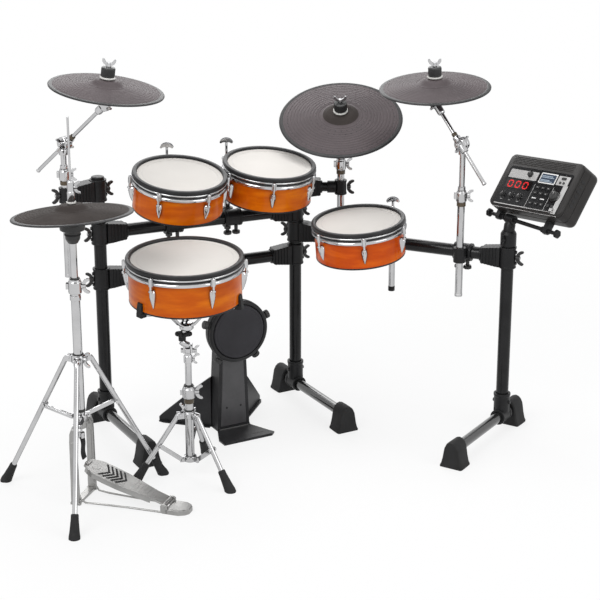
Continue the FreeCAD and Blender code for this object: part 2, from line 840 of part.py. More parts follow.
def tripod_collar(tripod):
    """Collar that slides on the tube and carries the three leg pivots, with its wing bolt."""
    pivot, foot, brace, boss = tripod_points(tripod)
    bore = tripod["tube"] + slide_gap
    half = collar_height / 2
    low = tripod["pivot"] - half
    ears = []
    inner = leg_eye_thickness / 2 + side_gap
    outer = inner + collar_ear
    for turn in tripod["turns"]:
        for y in ((-outer, -inner), (inner, outer)):
            ear = block((bore, pivot.x + leg_eye_radius), y, (low, low + collar_height * collar_ear_share))
            ears.append(put(ear, leg_stance(tripod, turn)))
        pin = Part.makeCylinder(leg_pin_radius, outer * 2, pivot - AWAY * outer, AWAY)
        ears.append(put(pin, leg_stance(tripod, turn)))
    band = rod(raised(tripod["axis"], low), raised(tripod["axis"], low + collar_height), bore + collar_wall)
    turn = flat(tripod["turns"][0] + collar_bolt_turn)
    bolt = wing(raised(tripod["axis"] + turn * bore, tripod["pivot"]), turn, UP)
    bolt.translate(turn * collar_wall / 2)
    body = fused([band] + ears + [bolt])
    return body.cut(rod(raised(tripod["axis"], 0), raised(tripod["axis"], tripod["pivot"] * 2), bore))


def tripod_boss(tripod):
    """Boss at the foot of the tube with a lug and a pin for each brace."""
    pivot, foot, brace, boss = tripod_points(tripod)
    half = boss_height / 2
    axis = tripod["axis"]
    parts = [rod(raised(axis, boss.z - half), raised(axis, boss.z + half), tripod["tube"] + boss_wall)]
    near = brace_offset()
    for turn in tripod["turns"]:
        lug = block((tripod["tube"], boss.x + boss_lug / 2), (0, near - side_gap),
                    (boss.z - half, boss.z + half))
        pin = rod(boss, boss + AWAY * (near + brace_thickness + side_gap), leg_pin_radius)
        parts += [put(lug, leg_stance(tripod, turn)), put(pin, leg_stance(tripod, turn))]
    return parts


def tripod_nodes(name, tripod):
    kit = {name + "_collar": tripod_collar(tripod)}
    for i, turn in enumerate(tripod["turns"]):
        kit[name + "_leg_" + str(i + 1)] = tripod_leg(tripod, turn)
        kit[name + "_brace_" + str(i + 1)] = tripod_brace(tripod, turn)
    return kit


def height_collar(axis, top, tube_radius, height):
    """Clamp at the top of a tube, part of that tube, with its wing bolt."""
    outer = tube_radius + collar_wall
    band = rod(raised(axis, top - height / 2), raised(axis, top + height / 2), outer)
    return [band, wing(raised(axis + RIGHT * (outer - clamp_gap), top), RIGHT, UP)]


def snare_tilt_point():
    return raised(snare_axis, snare_tilt_height)


def snare_stand():
    """Lower tube with boss and height collar; upper tube with the tilter's knuckle."""
    bore = snare_upper_radius + pin_gap
    low = snare_boss_height - boss_height / 2
    lower = [rod(raised(snare_axis, low), raised(snare_axis, snare_tube_top), snare_tube_radius)]
    lower += tripod_boss(snare_tripod())
    lower += height_collar(snare_axis, snare_tube_top, snare_tube_radius, snare_collar_height)
    lower = fused(lower).cut(rod(raised(snare_axis, 0), raised(snare_axis, snare_tilt_height), bore))
    point = snare_tilt_point()
    half = RIGHT * (snare_knuckle_width / 2)
    pin = rod(point - RIGHT * clamp_length, point + RIGHT * clamp_length, snare_fork_pin + pin_gap)
    upper = fused([rod(raised(snare_axis, snare_upper_bottom), point, snare_upper_radius),
                   rod(point - half, point + half, snare_knuckle_radius)])
    gap = snare_knuckle_width / 2
    for x in ((-clamp_length, -gap), (gap, clamp_length)):
        room = block(x, (-clamp_length, clamp_length), (-snare_knuckle_radius, clamp_length))
        upper = upper.cut(put(room, stance(point, UP, RIGHT)))
    upper = upper.cut(pin)
    return {"snare_stand_tube": lower, "snare_upper_tube": upper}


def snare_basket():
    """Tilter fork, stem, tightening wheel, hub and three arms with rubber grips under the snare."""
    point = snare_tilt_point()
    axis = lean_axis(snare)
    shell_radius = snare_head_radius + shell_overlap
    hub = snare["head"] - axis * ((snare["head"].z - basket_hub_height) / axis.z)
    inner = snare_knuckle_width / 2 + side_gap
    outer = inner + snare_fork_ear
    fork_top = snare_knuckle_radius + snare_fork_ear
    deep = snare_knuckle_radius / 2
    ears = [block(x, (-deep, deep), (-deep, fork_top)) for x in ((-outer, -inner), (inner, outer))]
    bridge = block((-outer, outer), (-deep, deep), (snare_knuckle_radius + side_gap, fork_top))
    fork = [put(piece, stance(point, UP, RIGHT)) for piece in ears + [bridge]]
    fork.append(rod(point - RIGHT * outer, point + RIGHT * outer, snare_fork_pin))
    stem_foot = point + UP * (snare_knuckle_radius + snare_fork_ear / 2)
    stem_way = unit(hub - stem_foot)
    half = basket_hub_thickness / 2
    stem = fused(fork + [rod(stem_foot, hub, snare_stem_radius),
                         rod(hub - axis * half, hub + axis * half, basket_hub_radius)])
    wheel_foot = stem_foot + stem_way * (snare_wheel_height - stem_foot.z)
    wheel = pipe(wheel_foot, wheel_foot + stem_way * snare_wheel_thickness, snare_wheel_radius,
                 snare_stem_radius + clamp_gap)
    place = drum_stance(snare)
    envelope = put(Part.makeCylinder(shell_radius, snare_depth, V(0, 0, -snare_depth)), place)
    arms = []
    grips = []
    depth = basket_grip_depth
    grip_half = basket_grip_width / 2
    for turn in basket_arm_turns:
        side = stance(V(0, 0, 0), UP, flat(turn))
        grip = block((shell_radius - depth, shell_radius + depth), (-grip_half, grip_half),
                     (-snare_depth - depth, -snare_depth + basket_grip_height))
        grip = put(put(grip, side), place)
        hub_local = -(snare["head"] - hub).Length
        arm = rod(V(0, 0, hub_local), V(shell_radius, 0, -snare_depth - depth / 2), basket_arm_radius)
        arms.append(put(put(arm, side), place).cut(grip).cut(envelope))
        grips.append(grip.cut(envelope))
    return group([fused([stem] + arms), wheel] + grips)


def snare_set():
    kit = drum_nodes("snare", snare, snare_head_radius, snare_depth, snare_lug_count, [])
    kit.update(snare_stand())
    kit["snare_basket"] = snare_basket()
    kit.update(tripod_nodes("snare_stand", snare_tripod()))
    return kit


def pedal_stance():
    """Frame at the foot of the hi-hat: X from toe to heel, Z up."""
    return stance(hihat_axis, UP, flat(pedal_turn))


def board_stance():
    """Frame on the heel pin: X up the footboard to its toe, Z out of its upper face."""
    heel = V(heel_distance, 0, heel_pin_height)
    toe = V(board_toe_reach, 0, board_toe_height)
    along = toe - heel
    return pedal_stance().multiply(stance(heel, AWAY.cross(along), along)), along.Length


def knuckle_half():
    return heel_width / 2 - heel_ear - side_gap


def hihat_frame():
    """Pedal frame, heel plate, stabiliser wires, lower tube, brace boss and height collar."""
    half = frame_bar_width / 2
    width = frame_half_width + frame_bar_thickness / 2
    bars = [block((-half, half), y, (0, frame_top))
            for y in ((-width, frame_bar_thickness - width), (width - frame_bar_thickness, width))]
    bars.append(block((-half, half), (-width, width), (frame_top - frame_bridge, frame_top)))
    bars.append(block((-half, half), (-width, width), (0, frame_bar_thickness)))
    plate_start = heel_distance + heel_knuckle_radius + side_gap
    side = heel_width / 2
    heel = [block((plate_start, heel_distance + heel_length), (-side, side), (0, heel_thickness))]
    for low, high in ((-side, heel_ear - side), (side - heel_ear, side)):
        heel.append(block((heel_distance - heel_knuckle_radius, plate_start + heel_ear), (low, high),
                          (0, heel_pin_height + heel_knuckle_radius)))
    pin = rod(V(heel_distance, -side, heel_pin_height), V(heel_distance, side, heel_pin_height), heel_pin_radius)
    wires = [rod(V(0, y, wire_radius), V(heel_distance, y, wire_radius), wire_radius)
             for y in (wire_radius - side, side - wire_radius)]
    pedal = [put(piece, pedal_stance()) for piece in bars + heel + [pin] + wires]
    tube_low = raised(hihat_axis, frame_top - frame_bridge / 2)
    tube = [rod(tube_low, raised(hihat_axis, hihat_tube_top), hihat_tube_radius)]
    tube += tripod_boss(hihat_tripod())
    tube += height_collar(hihat_axis, hihat_tube_top, hihat_tube_radius, hihat_collar_height)
    body = fused(pedal + tube)
    beyond = raised(hihat_axis, hihat_tube_top * 2)
    guide = rod(raised(hihat_axis, frame_bar_thickness), beyond, hihat_rod_radius + pin_gap)
    bore = rod(raised(hihat_axis, frame_top), beyond, hihat_upper_radius + pin_gap)
    return body.cut(guide).cut(bore)


def hihat_footboard():
    """Tapered footboard with edge flanges and the knuckle for the heel pin."""
    place, length = board_stance()
    knuckle = knuckle_half()
    wide = board_width / 2
    toe = board_toe_width / 2
    waist = length * board_waist_share
    start = length * board_wide_share
    shoulder = length * board_shoulder_share
    outline = [(0, -knuckle), (waist, -knuckle), (start, -wide), (shoulder, -wide), (length, -toe),
               (length, toe), (shoulder, wide), (start, wide), (waist, knuckle), (0, knuckle)]
    low = heel_knuckle_radius - board_thickness
    parts = [prism(outline, low, heel_knuckle_radius)]
    parts.append(Part.makeCylinder(heel_knuckle_radius, knuckle * 2, V(0, -knuckle, 0), AWAY))
    for y in ((-knuckle, board_thickness / 2 - knuckle), (knuckle - board_thickness / 2, knuckle)):
        parts.append(block((length * flange_start_share, length * flange_end_share), y,
                           (low - board_flange, low)))
    bore = Part.makeCylinder(heel_pin_radius + pin_gap, heel_width, V(0, -heel_width / 2, 0), AWAY)
    return put(fused(parts).cut(bore), place)


def hihat_upper_tube():
    """Upper tube and the dark sensor cup on its top."""
    seat = hihat_sensor_top - hihat_sensor_height
    bore = hihat_upper_radius - hihat_upper_wall
    tube = pipe(raised(hihat_axis, hihat_upper_bottom), raised(hihat_axis, seat), hihat_upper_radius, bore)
    neck = hihat_upper_radius + collar_wall
    waist = seat + hihat_sensor_height * sensor_neck_share
    brim = seat + hihat_sensor_height * sensor_brim_share
    cup = turned([(bore, seat), (neck, seat), (neck, waist), (hihat_sensor_radius, brim),
                  (hihat_sensor_radius, hihat_sensor_top), (bore, hihat_sensor_top)])
    cup.translate(hihat_axis)
    return group([tube, cup])


def hihat_pad_piece():
    return dict(centre=raised(hihat_axis, hihat_pad_height), lean=hihat_pad_lean, roll=hihat_pad_roll)


def hihat_rod():
    """Pull rod with the strap coupling at its foot and the clutch and nut round the pad."""
    above = hihat_pad_height + bell_rise + rock_gap
    below = hihat_pad_height + bell_rise - pad_thickness - rock_gap
    stem = rod(raised(hihat_axis, hihat_rod_bottom), raised(hihat_axis, hihat_rod_top), hihat_rod_radius)
    sleeve = rod(raised(hihat_axis, below), raised(hihat_axis, above), hub_post_radius)
    nut = rod(raised(hihat_axis, below - hihat_nut_height), raised(hihat_axis, below), hihat_nut_radius)
    clutch_top = raised(hihat_axis, above + hihat_clutch_height)
    clutch = rod(raised(hihat_axis, above), clutch_top, hihat_clutch_radius)
    bolt_height = above + hihat_clutch_height * clutch_bolt_share
    bolt = wing(raised(hihat_axis + RIGHT * (hihat_clutch_radius - clamp_gap), bolt_height), RIGHT, UP)
    coupling = rod(raised(hihat_axis, hihat_rod_bottom - hihat_coupling_height / 2),
                   raised(hihat_axis, hihat_rod_bottom + hihat_coupling_height / 2), hihat_clutch_radius)
    strap_foot = board_toe_height + heel_knuckle_radius * 2 + side_gap
    strap = put(block((-strap_thickness / 2, strap_thickness / 2), (-strap_width / 2, strap_width / 2),
                      (strap_foot, hihat_rod_bottom)), pedal_stance())
    rocker = rock_pin_rod(hihat_pad_piece(), 0)
    return fused([stem, sleeve, nut, clutch, bolt, coupling, strap, rocker])


def rock_pin(piece):
    """Middle and direction of the cross pin that a pad rocks on, inside its bell."""
    place = stance(piece["centre"], lean_axis(piece), RIGHT)
    return place.multVec(V(0, 0, bell_rise - pad_thickness / 2)), place.Rotation.multVec(RIGHT)


def rock_pin_rod(piece, margin):
    point, along = rock_pin(piece)
    half = along * (hub_post_radius + pad_hole_gap + rock_pin_grip + margin)
    return rod(point - half, point + half, rock_pin_radius + margin)


def pad_solid(piece, radius, bell):
    """Cymbal pad: shallow cone with a raised bell and a hole, at its place and lean."""
    hole = hub_post_radius + pad_hole_gap
    crown = bell * bell_crown_share
    skirt = pad_thickness * pad_edge_share
    profile = [(hole, bell_rise - pad_thickness), (hole, bell_rise), (crown, bell_rise), (bell, 0),
               (radius, -pad_drop), (radius, -pad_drop - skirt), (bell, -pad_thickness),
               (crown, bell_rise - pad_thickness)]
    body = put(turned(profile), stance(piece["centre"], lean_axis(piece), RIGHT))
    return body.cut(rock_pin_rod(piece, pin_gap))


def hihat_set():
    kit = {"hihat_frame": hihat_frame(), "hihat_footboard": hihat_footboard(),
           "hihat_upper_tube": hihat_upper_tube(), "hihat_rod": hihat_rod(),
           "hihat_pad": pad_solid(hihat_pad_piece(), hihat_pad_radius, bell_radius)}
    kit.update(tripod_nodes("hihat", hihat_tripod()))
    return kit


def hub_stack(piece):
    """Post through a pad with felts below and above, the hub and a wing nut: (post, loose rings)."""
    axis = lean_axis(piece)
    centre = piece["centre"]
    under = centre + axis * (bell_rise - pad_thickness - rock_gap)
    over = centre + axis * (bell_rise + rock_gap)
    hub_foot = over + axis * felt_height
    top = hub_foot + axis * hub_height
    stem = rod(centre - axis * hub_drop, top + axis * wing_nut_rise, hub_post_radius)
    post = fused([stem, rock_pin_rod(piece, 0)])
    bore = hub_post_radius + clamp_gap
    rings = [pipe(under - axis * felt_height * 2, under, lower_felt_radius, bore),
             pipe(over, hub_foot, felt_radius, bore), pipe(hub_foot, top, hub_radius, bore)]
    nut = wing(top + axis * wing_nut_rise, axis, RIGHT)
    return post, nut, rings


def boom_axes(crash):
    """Boom pivot, tilter centre, level hinge axis and the middle of the boom clamp beside the holder."""
    pivot = raised(crash["tube"], crash["pivot"])
    tip = crash["centre"] - lean_axis(crash) * hub_drop
    level = unit(UP.cross(raised(tip - pivot, 0)))
    clamp = pivot + level * (boom_knuckle_width + side_gap)
    return pivot, tip, level, clamp


def crash_boom(crash):
    """Boom rod with its clamp and pin, tilter, hub post and hub."""
    pivot, tip, level, clamp = boom_axes(crash)
    half = boom_knuckle_width / 2
    way = unit(tip - clamp)
    post, nut, rings = hub_stack(crash)
    bar = rod(clamp - way * crash["tail"], tip, boom_radius)
    body = rod(clamp - level * half, clamp + level * half, boom_knuckle_radius)
    pin = rod(pivot - level * half, clamp, boom_pin_radius)
    tilter = rod(tip - level * tilter_width / 2, tip + level * tilter_width / 2, tilter_radius)
    bolt = wing(clamp + level * (half - clamp_gap), level, UP)
    return group([fused([bar, body, pin, tilter, post, nut, bolt])] + rings)


def stand_tubes(stand, top):
    """Lower tube, height collar and upper tube of a cymbal stand, up to a height."""
    tube = stand["tube"]
    outer = cymbal_collar_radius
    low = stand["collar"] - cymbal_collar_height / 2
    high = stand["collar"] + cymbal_collar_height / 2
    return [rod(raised(tube, stand["bottom"]), raised(tube, stand["collar"]), cymbal_lower_radius),
            rod(raised(tube, low), raised(tube, high), outer),
            rod(raised(tube, stand["collar"]), raised(tube, top), cymbal_upper_radius),
            wing(raised(tube + RIGHT * (outer - clamp_gap), stand["collar"]), RIGHT, UP)]


def cymbal_stands():
    """Tubes of the three cymbal stands with the pivots on their tops."""
    parts = []
    for crash in (crash_left, crash_right):
        pivot, tip, level, clamp = boom_axes(crash)
        half = boom_knuckle_width / 2
        knuckle = rod(pivot - level * half, pivot + level * half, boom_knuckle_radius)
        body = fused(stand_tubes(crash, crash["pivot"]) + [knuckle])
        bore = rod(pivot - level * clamp_length, pivot + level * clamp_length, boom_pin_radius + pin_gap)
        room = rod(pivot + level * half, pivot + level * clamp_length, boom_knuckle_radius + side_gap)
        parts.append(body.cut(bore).cut(room))
    point = raised(ride["tube"], ride["pivot"])
    half = RIGHT * (tilter_width / 2)
    body = fused(stand_tubes(ride, ride["pivot"]) + [rod(point - half, point + half, tilter_radius)])
    body = body.cut(rod(point - RIGHT * clamp_length, point + RIGHT * clamp_length, boom_pin_radius + pin_gap))
    for side in (half, half * -1):
        body = body.cut(rod(point + side, point + side * 2, tilter_radius))
    parts.append(body)
    return group(parts)


def ride_tilter():
    """Fork over the ride stand's knuckle with the hub post, felts, hub and wing nut."""
    point = raised(ride["tube"], ride["pivot"])
    post, nut, rings = hub_stack(ride)
    foot = ride["centre"] - lean_axis(ride) * hub_drop
    inner = tilter_width / 2 + side_gap
    outer = inner + tom_ear
    way = unit(foot - point)
    bridge = tilter_radius + side_gap
    high = max((foot - point).Length, bridge + tom_ear)
    place = stance(point, way, RIGHT)
    ears = [block(x, (-tilter_radius / 2, tilter_radius / 2), (-tilter_radius / 2, high))
            for x in ((-outer, -inner), (inner, outer))]
    ears.append(block((-outer, outer), (-tilter_radius / 2, tilter_radius / 2), (bridge, high)))
    pin = rod(point - RIGHT * outer, point + RIGHT * outer, boom_pin_radius)
    knuckle_room = rod(point - RIGHT * inner, point + RIGHT * inner, tilter_radius + side_gap)
    body = fused([put(piece, place) for piece in ears] + [post, nut]).cut(knuckle_room)
    return group([fused([body, pin])] + rings)


def cymbals():
    return {"cymbal_stands": cymbal_stands(), "crash_left_boom": crash_boom(crash_left),
            "crash_right_boom": crash_boom(crash_right), "ride_tilter": ride_tilter(),
            "crash_left_pad": pad_solid(crash_left, cymbal_radius, bell_radius),
            "crash_right_pad": pad_solid(crash_right, cymbal_radius, bell_radius),
            "ride_pad": pad_solid(ride, ride_radius, ride_bell_radius)}


def kick_stance():
    """Frame at the foot of the kick tower's front: X across, Y backwards, Z up."""
    return stance(kick_foot, UP, flat(kick_turn))


def level_outline(half_width, front, back, height):
    corners = [V(-half_width, front, height), V(half_width, front, height), V(half_width, back, height),
               V(-half_width, back, height)]
    return Part.makePolygon(corners + corners[:1])


def kick_channel(inset, open_back):
    """Tapered column of the tower, drawn in by a sheet's thickness for its hollow."""
    foot = level_outline(kick_width / 2 - inset, inset, kick_depth + open_back, kick_plate_sheet)
    top = level_outline(kick_top_width / 2 - inset, inset, kick_top_depth + open_back, kick_height)
    return Part.makeLoft([foot, top], True, True)


def kick_tower():
    """Bent steel tower, open at the back, on its floor plate, with two splayed legs."""
    tower = kick_channel(0, 0).cut(kick_channel(kick_sheet, kick_depth))
    wide = kick_plate_width / 2
    narrow = kick_width / 2
    lip = kick_plate_lip - kick_plate_length
    plate = prism([(-wide, -kick_plate_length), (wide, -kick_plate_length), (wide, lip), (narrow, 0),
                   (narrow, kick_depth), (-narrow, kick_depth), (-narrow, 0), (-wide, lip)], 0, kick_plate_sheet)
    parts = [tower, plate]
    inner = kick_leg_flange
    for side, turn in ((1, kick_leg_turn), (-1, 180 - kick_leg_turn)):
        sheet = side_prism([(0, 0), (kick_leg_length, 0), (kick_leg_length, kick_leg_toe),
                            (0, kick_leg_height)], kick_sheet)
        flange = block((0, kick_leg_length), (-inner / 2, inner / 2), (0, kick_sheet))
        root = V(side * (narrow - kick_sheet * 2), kick_depth - kick_sheet * 4, 0)
        leg = put(fused([sheet, flange]), stance(root, UP, flat(turn)))
        parts.append(leg.cut(kick_channel(kick_sheet / 2, kick_depth)))
    return put(fused(parts), kick_stance())


def kick_rim():
    """Round housing of the kick pad with its five lugs."""
    centre = V(0, 0, kick_disc_height)
    body = Part.makeCylinder(kick_rim_radius, kick_rim_depth, centre, AWAY * -1)
    floor = centre - AWAY * (kick_rim_depth - kick_pad_depth)
    pocket = Part.makeCylinder(kick_pad_radius + clamp_gap, kick_pad_depth * 2, floor, AWAY * -1)
    parts = [put(body.cut(pocket), kick_stance())]
    lug = block((-kick_lug_width / 2, kick_lug_width / 2), (-kick_lug_depth - kick_pad_depth, -kick_pad_depth),
                (kick_rim_radius, kick_rim_radius + kick_lug_height))
    for i in range(kick_lug_count):
        turn = FreeCAD.Placement(centre, FreeCAD.Rotation(AWAY, 360.0 * i / kick_lug_count))
        parts.append(put(put(lug, turn), kick_stance()))
    return group(parts)


def kick_pad():
    floor = V(0, kick_pad_depth - kick_rim_depth, kick_disc_height)
    disc = Part.makeCylinder(kick_pad_radius, kick_pad_depth + kick_pad_proud, floor, AWAY * -1)
    return put(disc, kick_stance())


def module_hinge():
    """Middle of the level tilt bar over the right post, and its direction."""
    return raised(post_right + module_hinge_shift, post_right_top + module_pivot_rise), flat(module_turn)


def module_stance():
    """Frame on the module's face: X along its width, Y up its slope, Z out of the face."""
    hinge, bar = module_hinge()
    across = bar + UP * math.tan(math.radians(module_roll))
    pitch = math.radians(module_pitch)
    outward = UP * math.cos(pitch) + flat(module_face_turn - 90) * math.sin(pitch)
    turn = stance(V(0, 0, 0), outward, across)
    return stance(hinge - turn.multVec(V(*module_hinge_place)), outward, across)


def panel_point(place):
    return panel_left + place[0], panel_low + place[1]


def panel_block(place, width, length, low, high):
    x, y = panel_point(place)
    return block((x - width / 2, x + width / 2), (y - length / 2, y + length / 2), (low, high))


def button_places():
    return [(x, y) for x in button_columns for y in button_rows]


def button_pockets(margin, low, high):
    width = button_width + margin * 2
    length = button_length + margin * 2
    return [panel_block(place, width, length, low, high) for place in button_places()]


def module_housing():
    """Rounded housing with button wells in its face and two lugs for the tilt bar."""
    wide = module_width / 2
    long = module_length / 2
    body = block((-wide, wide), (-long, long), (-module_depth, 0))
    corners = [e for e in body.Edges if abs(e.tangentAt(e.FirstParameter).z) > 0.9]
    body = body.makeFillet(module_corner, corners)
    rim = [e for e in body.Edges if e.BoundBox.ZMin > -module_edge]
    body = body.makeChamfer(module_edge, rim)
    point, across = module_hinge()
    inside = module_stance().inverse()
    lugs = []
    for place in (module_lug_left, module_lug_right):
        local = inside.multVec(point + across * place)
        lugs.append(block((local.x - module_lug_width / 2, local.x + module_lug_width / 2),
                          (local.y - module_lug_radius, module_edge - long),
                          (local.z - module_lug_radius, local.z + module_lug_radius)))
    bore = rod(inside.multVec(point - across * module_width), inside.multVec(point + across * module_width),
               bracket_bar_radius + pin_gap)
    wells = button_pockets(side_gap, -button_travel - button_proud, panel_thickness)
    return put(fused([body] + lugs).cut(bore).cut(fused(wells)), module_stance())


def module_panel():
    """Front panel with the raised screen and level window, and the row of trim knobs."""
    plate = panel_block((0, 0), panel_width, panel_length, 0, panel_thickness)
    plate = plate.cut(fused(button_pockets(side_gap, -panel_thickness, panel_thickness * 2)))
    top = panel_thickness + glass_proud
    raised_parts = [panel_block(screen_place, screen_width, screen_length, panel_thickness, top),
                    panel_block(window_place, window_width, window_length, panel_thickness, top)]
    for place in trim_knob_places:
        kx, ky = panel_point(place)
        knob_top = panel_thickness + trim_knob_height
        knob_body = prism(polygon(trim_knob_radius, trim_knob_sides), panel_thickness, knob_top)
        knob_body.translate(V(kx, ky, 0))
        raised_parts.append(knob_body)
    return put(fused([plate] + raised_parts), module_stance())


def face_knob(place, radius, height):
    """Round control standing just off the panel."""
    x, y = panel_point(place)
    low = panel_thickness + side_gap
    return put(Part.makeCylinder(radius, height, V(x, y, low)), module_stance())


def module_buttons():
    keys = button_pockets(0, -button_proud, panel_thickness + button_proud)
    return group([put(key, module_stance()) for key in keys])


def module_bracket():
    """Cap on the right post with a neck and the level tilt bar, and a knob at each end of the bar."""
    point, across = module_hinge()
    start = point + across * (module_lug_left - module_lug_width / 2 - bracket_bar_overhang)
    end = point + across * (module_lug_right + module_lug_width / 2 + bracket_bar_overhang)
    cap_radius = pipe_radius + bracket_cap_wall
    low = raised(post_right, post_right_top - bracket_cap_height)
    high = raised(post_right, post_right_top + bracket_cap_wall)
    body = fused([rod(low, high, cap_radius), rod(high, point, bracket_neck_radius),
                  rod(start, end, bracket_bar_radius), knob(start, across * -1), knob(end, across)])
    return body.cut(rod(low, raised(post_right, post_right_top), pipe_radius + clamp_gap))


def module_set():
    return {"module_bracket": module_bracket(), "module_housing": module_housing(),
            "module_panel": module_panel(), "module_buttons": module_buttons(),
            "module_dial": face_knob(dial_place, dial_radius, dial_height),
            "module_volume": face_knob(volume_place, volume_radius, volume_height)}


def nodes():
    """Every node of the kit by name, in the layout's own frame."""
    kit = {"rack_legs": rack_legs(), "rack_pipes": rack_pipes(), "rack_joints": rack_joints(),
           "rack_rubber_feet": rack_rubber_feet(), "rack_wing_bolts": rack_wing_bolts()}
    kit.update(toms())
    kit.update(snare_set())
    kit.update(hihat_set())
    kit.update(cymbals())
    kit.update({"kick_tower": kick_tower(), "kick_rim": kick_rim(), "kick_pad": kick_pad()})
    kit.update(module_set())
    return kit


def floor_centre(kit):
    """Middle of the whole kit on the floor, which becomes the origin."""
    box = FreeCAD.BoundBox()
    for shape in kit.values():
        box.add(shape.optimalBoundingBox(False))
    return V(box.Center.x, box.Center.y, box.ZMin)


def main():
    os.makedirs("parts", exist_ok=True)
    kit = nodes()
    origin = floor_centre(kit)
    for name, shape in kit.items():
        shape.translate(origin * -1)
        shape.exportStep("parts/" + name + ".step")


if __name__ == "__main__":
    main()
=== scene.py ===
import json
from math import cos, inf, pi, radians, sin, tan

import bmesh
import bpy
from mathutils import Matrix, Vector


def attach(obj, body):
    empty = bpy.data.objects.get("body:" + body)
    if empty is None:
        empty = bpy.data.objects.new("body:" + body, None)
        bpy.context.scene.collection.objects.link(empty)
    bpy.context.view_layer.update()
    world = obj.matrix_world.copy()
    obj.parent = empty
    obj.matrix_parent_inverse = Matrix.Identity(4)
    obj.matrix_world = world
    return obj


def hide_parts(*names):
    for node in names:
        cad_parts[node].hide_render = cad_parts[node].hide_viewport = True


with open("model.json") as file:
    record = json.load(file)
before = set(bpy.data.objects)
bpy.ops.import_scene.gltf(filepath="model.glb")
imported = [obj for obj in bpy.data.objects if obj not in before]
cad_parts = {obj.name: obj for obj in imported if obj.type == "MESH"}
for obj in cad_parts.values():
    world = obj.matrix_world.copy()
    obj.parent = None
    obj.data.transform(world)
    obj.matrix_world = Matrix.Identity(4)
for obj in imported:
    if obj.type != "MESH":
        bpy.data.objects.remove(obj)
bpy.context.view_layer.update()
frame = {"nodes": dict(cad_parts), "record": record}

# The layout's own numbers are millimetres; the snare's tilt pin ties them to the frame
JOINTS = {j["name"]: j for j in frame["record"]["behaviour"]["joints"]}
SNARE_PIN = Vector((-319, -300, 389))
SHIFT = Vector(JOINTS["snare_tilt"]["pos_m"]) - SNARE_PIN / 1000
RIGHT, AWAY, UP = Vector((1, 0, 0)), Vector((0, 1, 0)), Vector((0, 0, 1))
# Turns that stand an outline up: its Y goes to Z, and with SIDEWAYS its X goes to Y
UPRIGHT = Matrix.Rotation(radians(90), 4, "X")
SIDEWAYS = Matrix(((0, 0, 1, 0), (1, 0, 0, 0), (0, 1, 0, 0), (0, 0, 0, 1)))


def mm(x, y, z):
    return Vector((x, y, z)) / 1000


def at(x, y, z):
    return mm(x, y, z) + SHIFT


def shift(x, y, z):
    return Matrix.Translation(mm(x, y, z))


def turn_z(angle):
    return Matrix.Rotation(radians(angle), 4, "Z")


# Materials
def material(name):
    mat = bpy.data.materials.new(name)
    mat.use_nodes = True
    tree = mat.node_tree
    return mat, tree, tree.nodes["Principled BSDF"]


def put(node, values):
    """Set sockets of a node, or link them where the value is another node's output."""
    for socket, value in values.items():
        if isinstance(value, bpy.types.NodeSocket):
            node.id_data.links.new(value, node.inputs[socket])
        else:
            node.inputs[socket].default_value = value


def wire(tree, kind, values, operation=None, out=0):
    """Output of a new shader node with its sockets set or linked."""
    node = tree.nodes.new("ShaderNode" + kind)
    if operation:
        node.operation = operation
    put(node, values)
    return node.outputs[out]


def noise(tree, scale, detail=3.0, rough=0.5, stretch=None):
    source = wire(tree, "TexCoord", {}, out="Object")
    if stretch:
        source = wire(tree, "Mapping", {"Scale": stretch, "Vector": source})
    return wire(tree, "TexNoise", {"Scale": scale, "Detail": detail, "Roughness": rough, "Vector": source})


def ramp(tree, source, stops):
    node = tree.nodes.new("ShaderNodeValToRGB")
    put(node, {"Fac": source})
    elements = node.color_ramp.elements
    while len(elements) < len(stops):
        elements.new(0.5)
    for element, (place, colour) in zip(elements, stops):
        element.position = place
        element.color = (*colour, 1.0)
    return node.outputs["Color"]


def spread(tree, source, low, high):
    return wire(tree, "MapRange", {"To Min": low, "To Max": high, "Value": source})


def surface(name, dark, light, rough, scale, depth=0.0, metal=0.0, coat=0.0, coat_rough=0.03, patch=18.0, level=0.5):
    """Material whose colour drifts in soft patches, with a fine texture in roughness and relief."""
    mat, tree, shader = material(name)
    fine = noise(tree, scale, 3.0, 0.6)
    tint = ramp(tree, noise(tree, patch, 4.0, 0.6), [(0.3, dark), (0.7, light)])
    put(shader, {"Base Color": tint, "Roughness": spread(tree, fine, *rough), "Metallic": metal,
                 "Specular IOR Level": level, "Coat Weight": coat, "Coat Roughness": coat_rough})
    if depth:
        put(shader, {"Normal": wire(tree, "Bump", {"Distance": depth, "Strength": 1.0, "Height": fine})})
    return mat


def lacquer(name, gold):
    """Amber lacquer over figured veneer: long grain along the shell under a glossy coat."""
    mat, tree, shader = material(name)
    grain = noise(tree, 9.0, 4.0, 0.5, (1.0, 1.0, 5.0))
    fine = noise(tree, 260.0, 4.0, 0.6, (1.0, 1.0, 12.0))
    mix = wire(tree, "Math", {0: fine, 1: 0.14, 2: grain}, "MULTIPLY_ADD")
    stops = ((0.30, 0.43, 0.060, 0.001), (0.55, 0.55, 0.098, 0.001), (0.80, 0.71, 0.175, 0.002))
    tint = ramp(tree, mix, [(place, (r, g * gold, b)) for place, r, g, b in stops])
    put(shader, {"Base Color": tint, "Roughness": spread(tree, fine, 0.24, 0.36), "Specular IOR Level": 0.08,
                 "Coat Weight": 0.15, "Coat Roughness": 0.06})
    return mat


def lit(name, colour, power):
    """Lit part of a display, a little uneven."""
    mat, tree, shader = material(name)
    glow = ramp(tree, noise(tree, 90.0), [(0.3, [c * 0.8 for c in colour]), (0.7, colour)])
    put(shader, {"Emission Color": glow, "Roughness": 0.3, "Emission Strength": power,
                 "Base Color": (*(c * 0.3 for c in colour), 1.0)})
    return mat


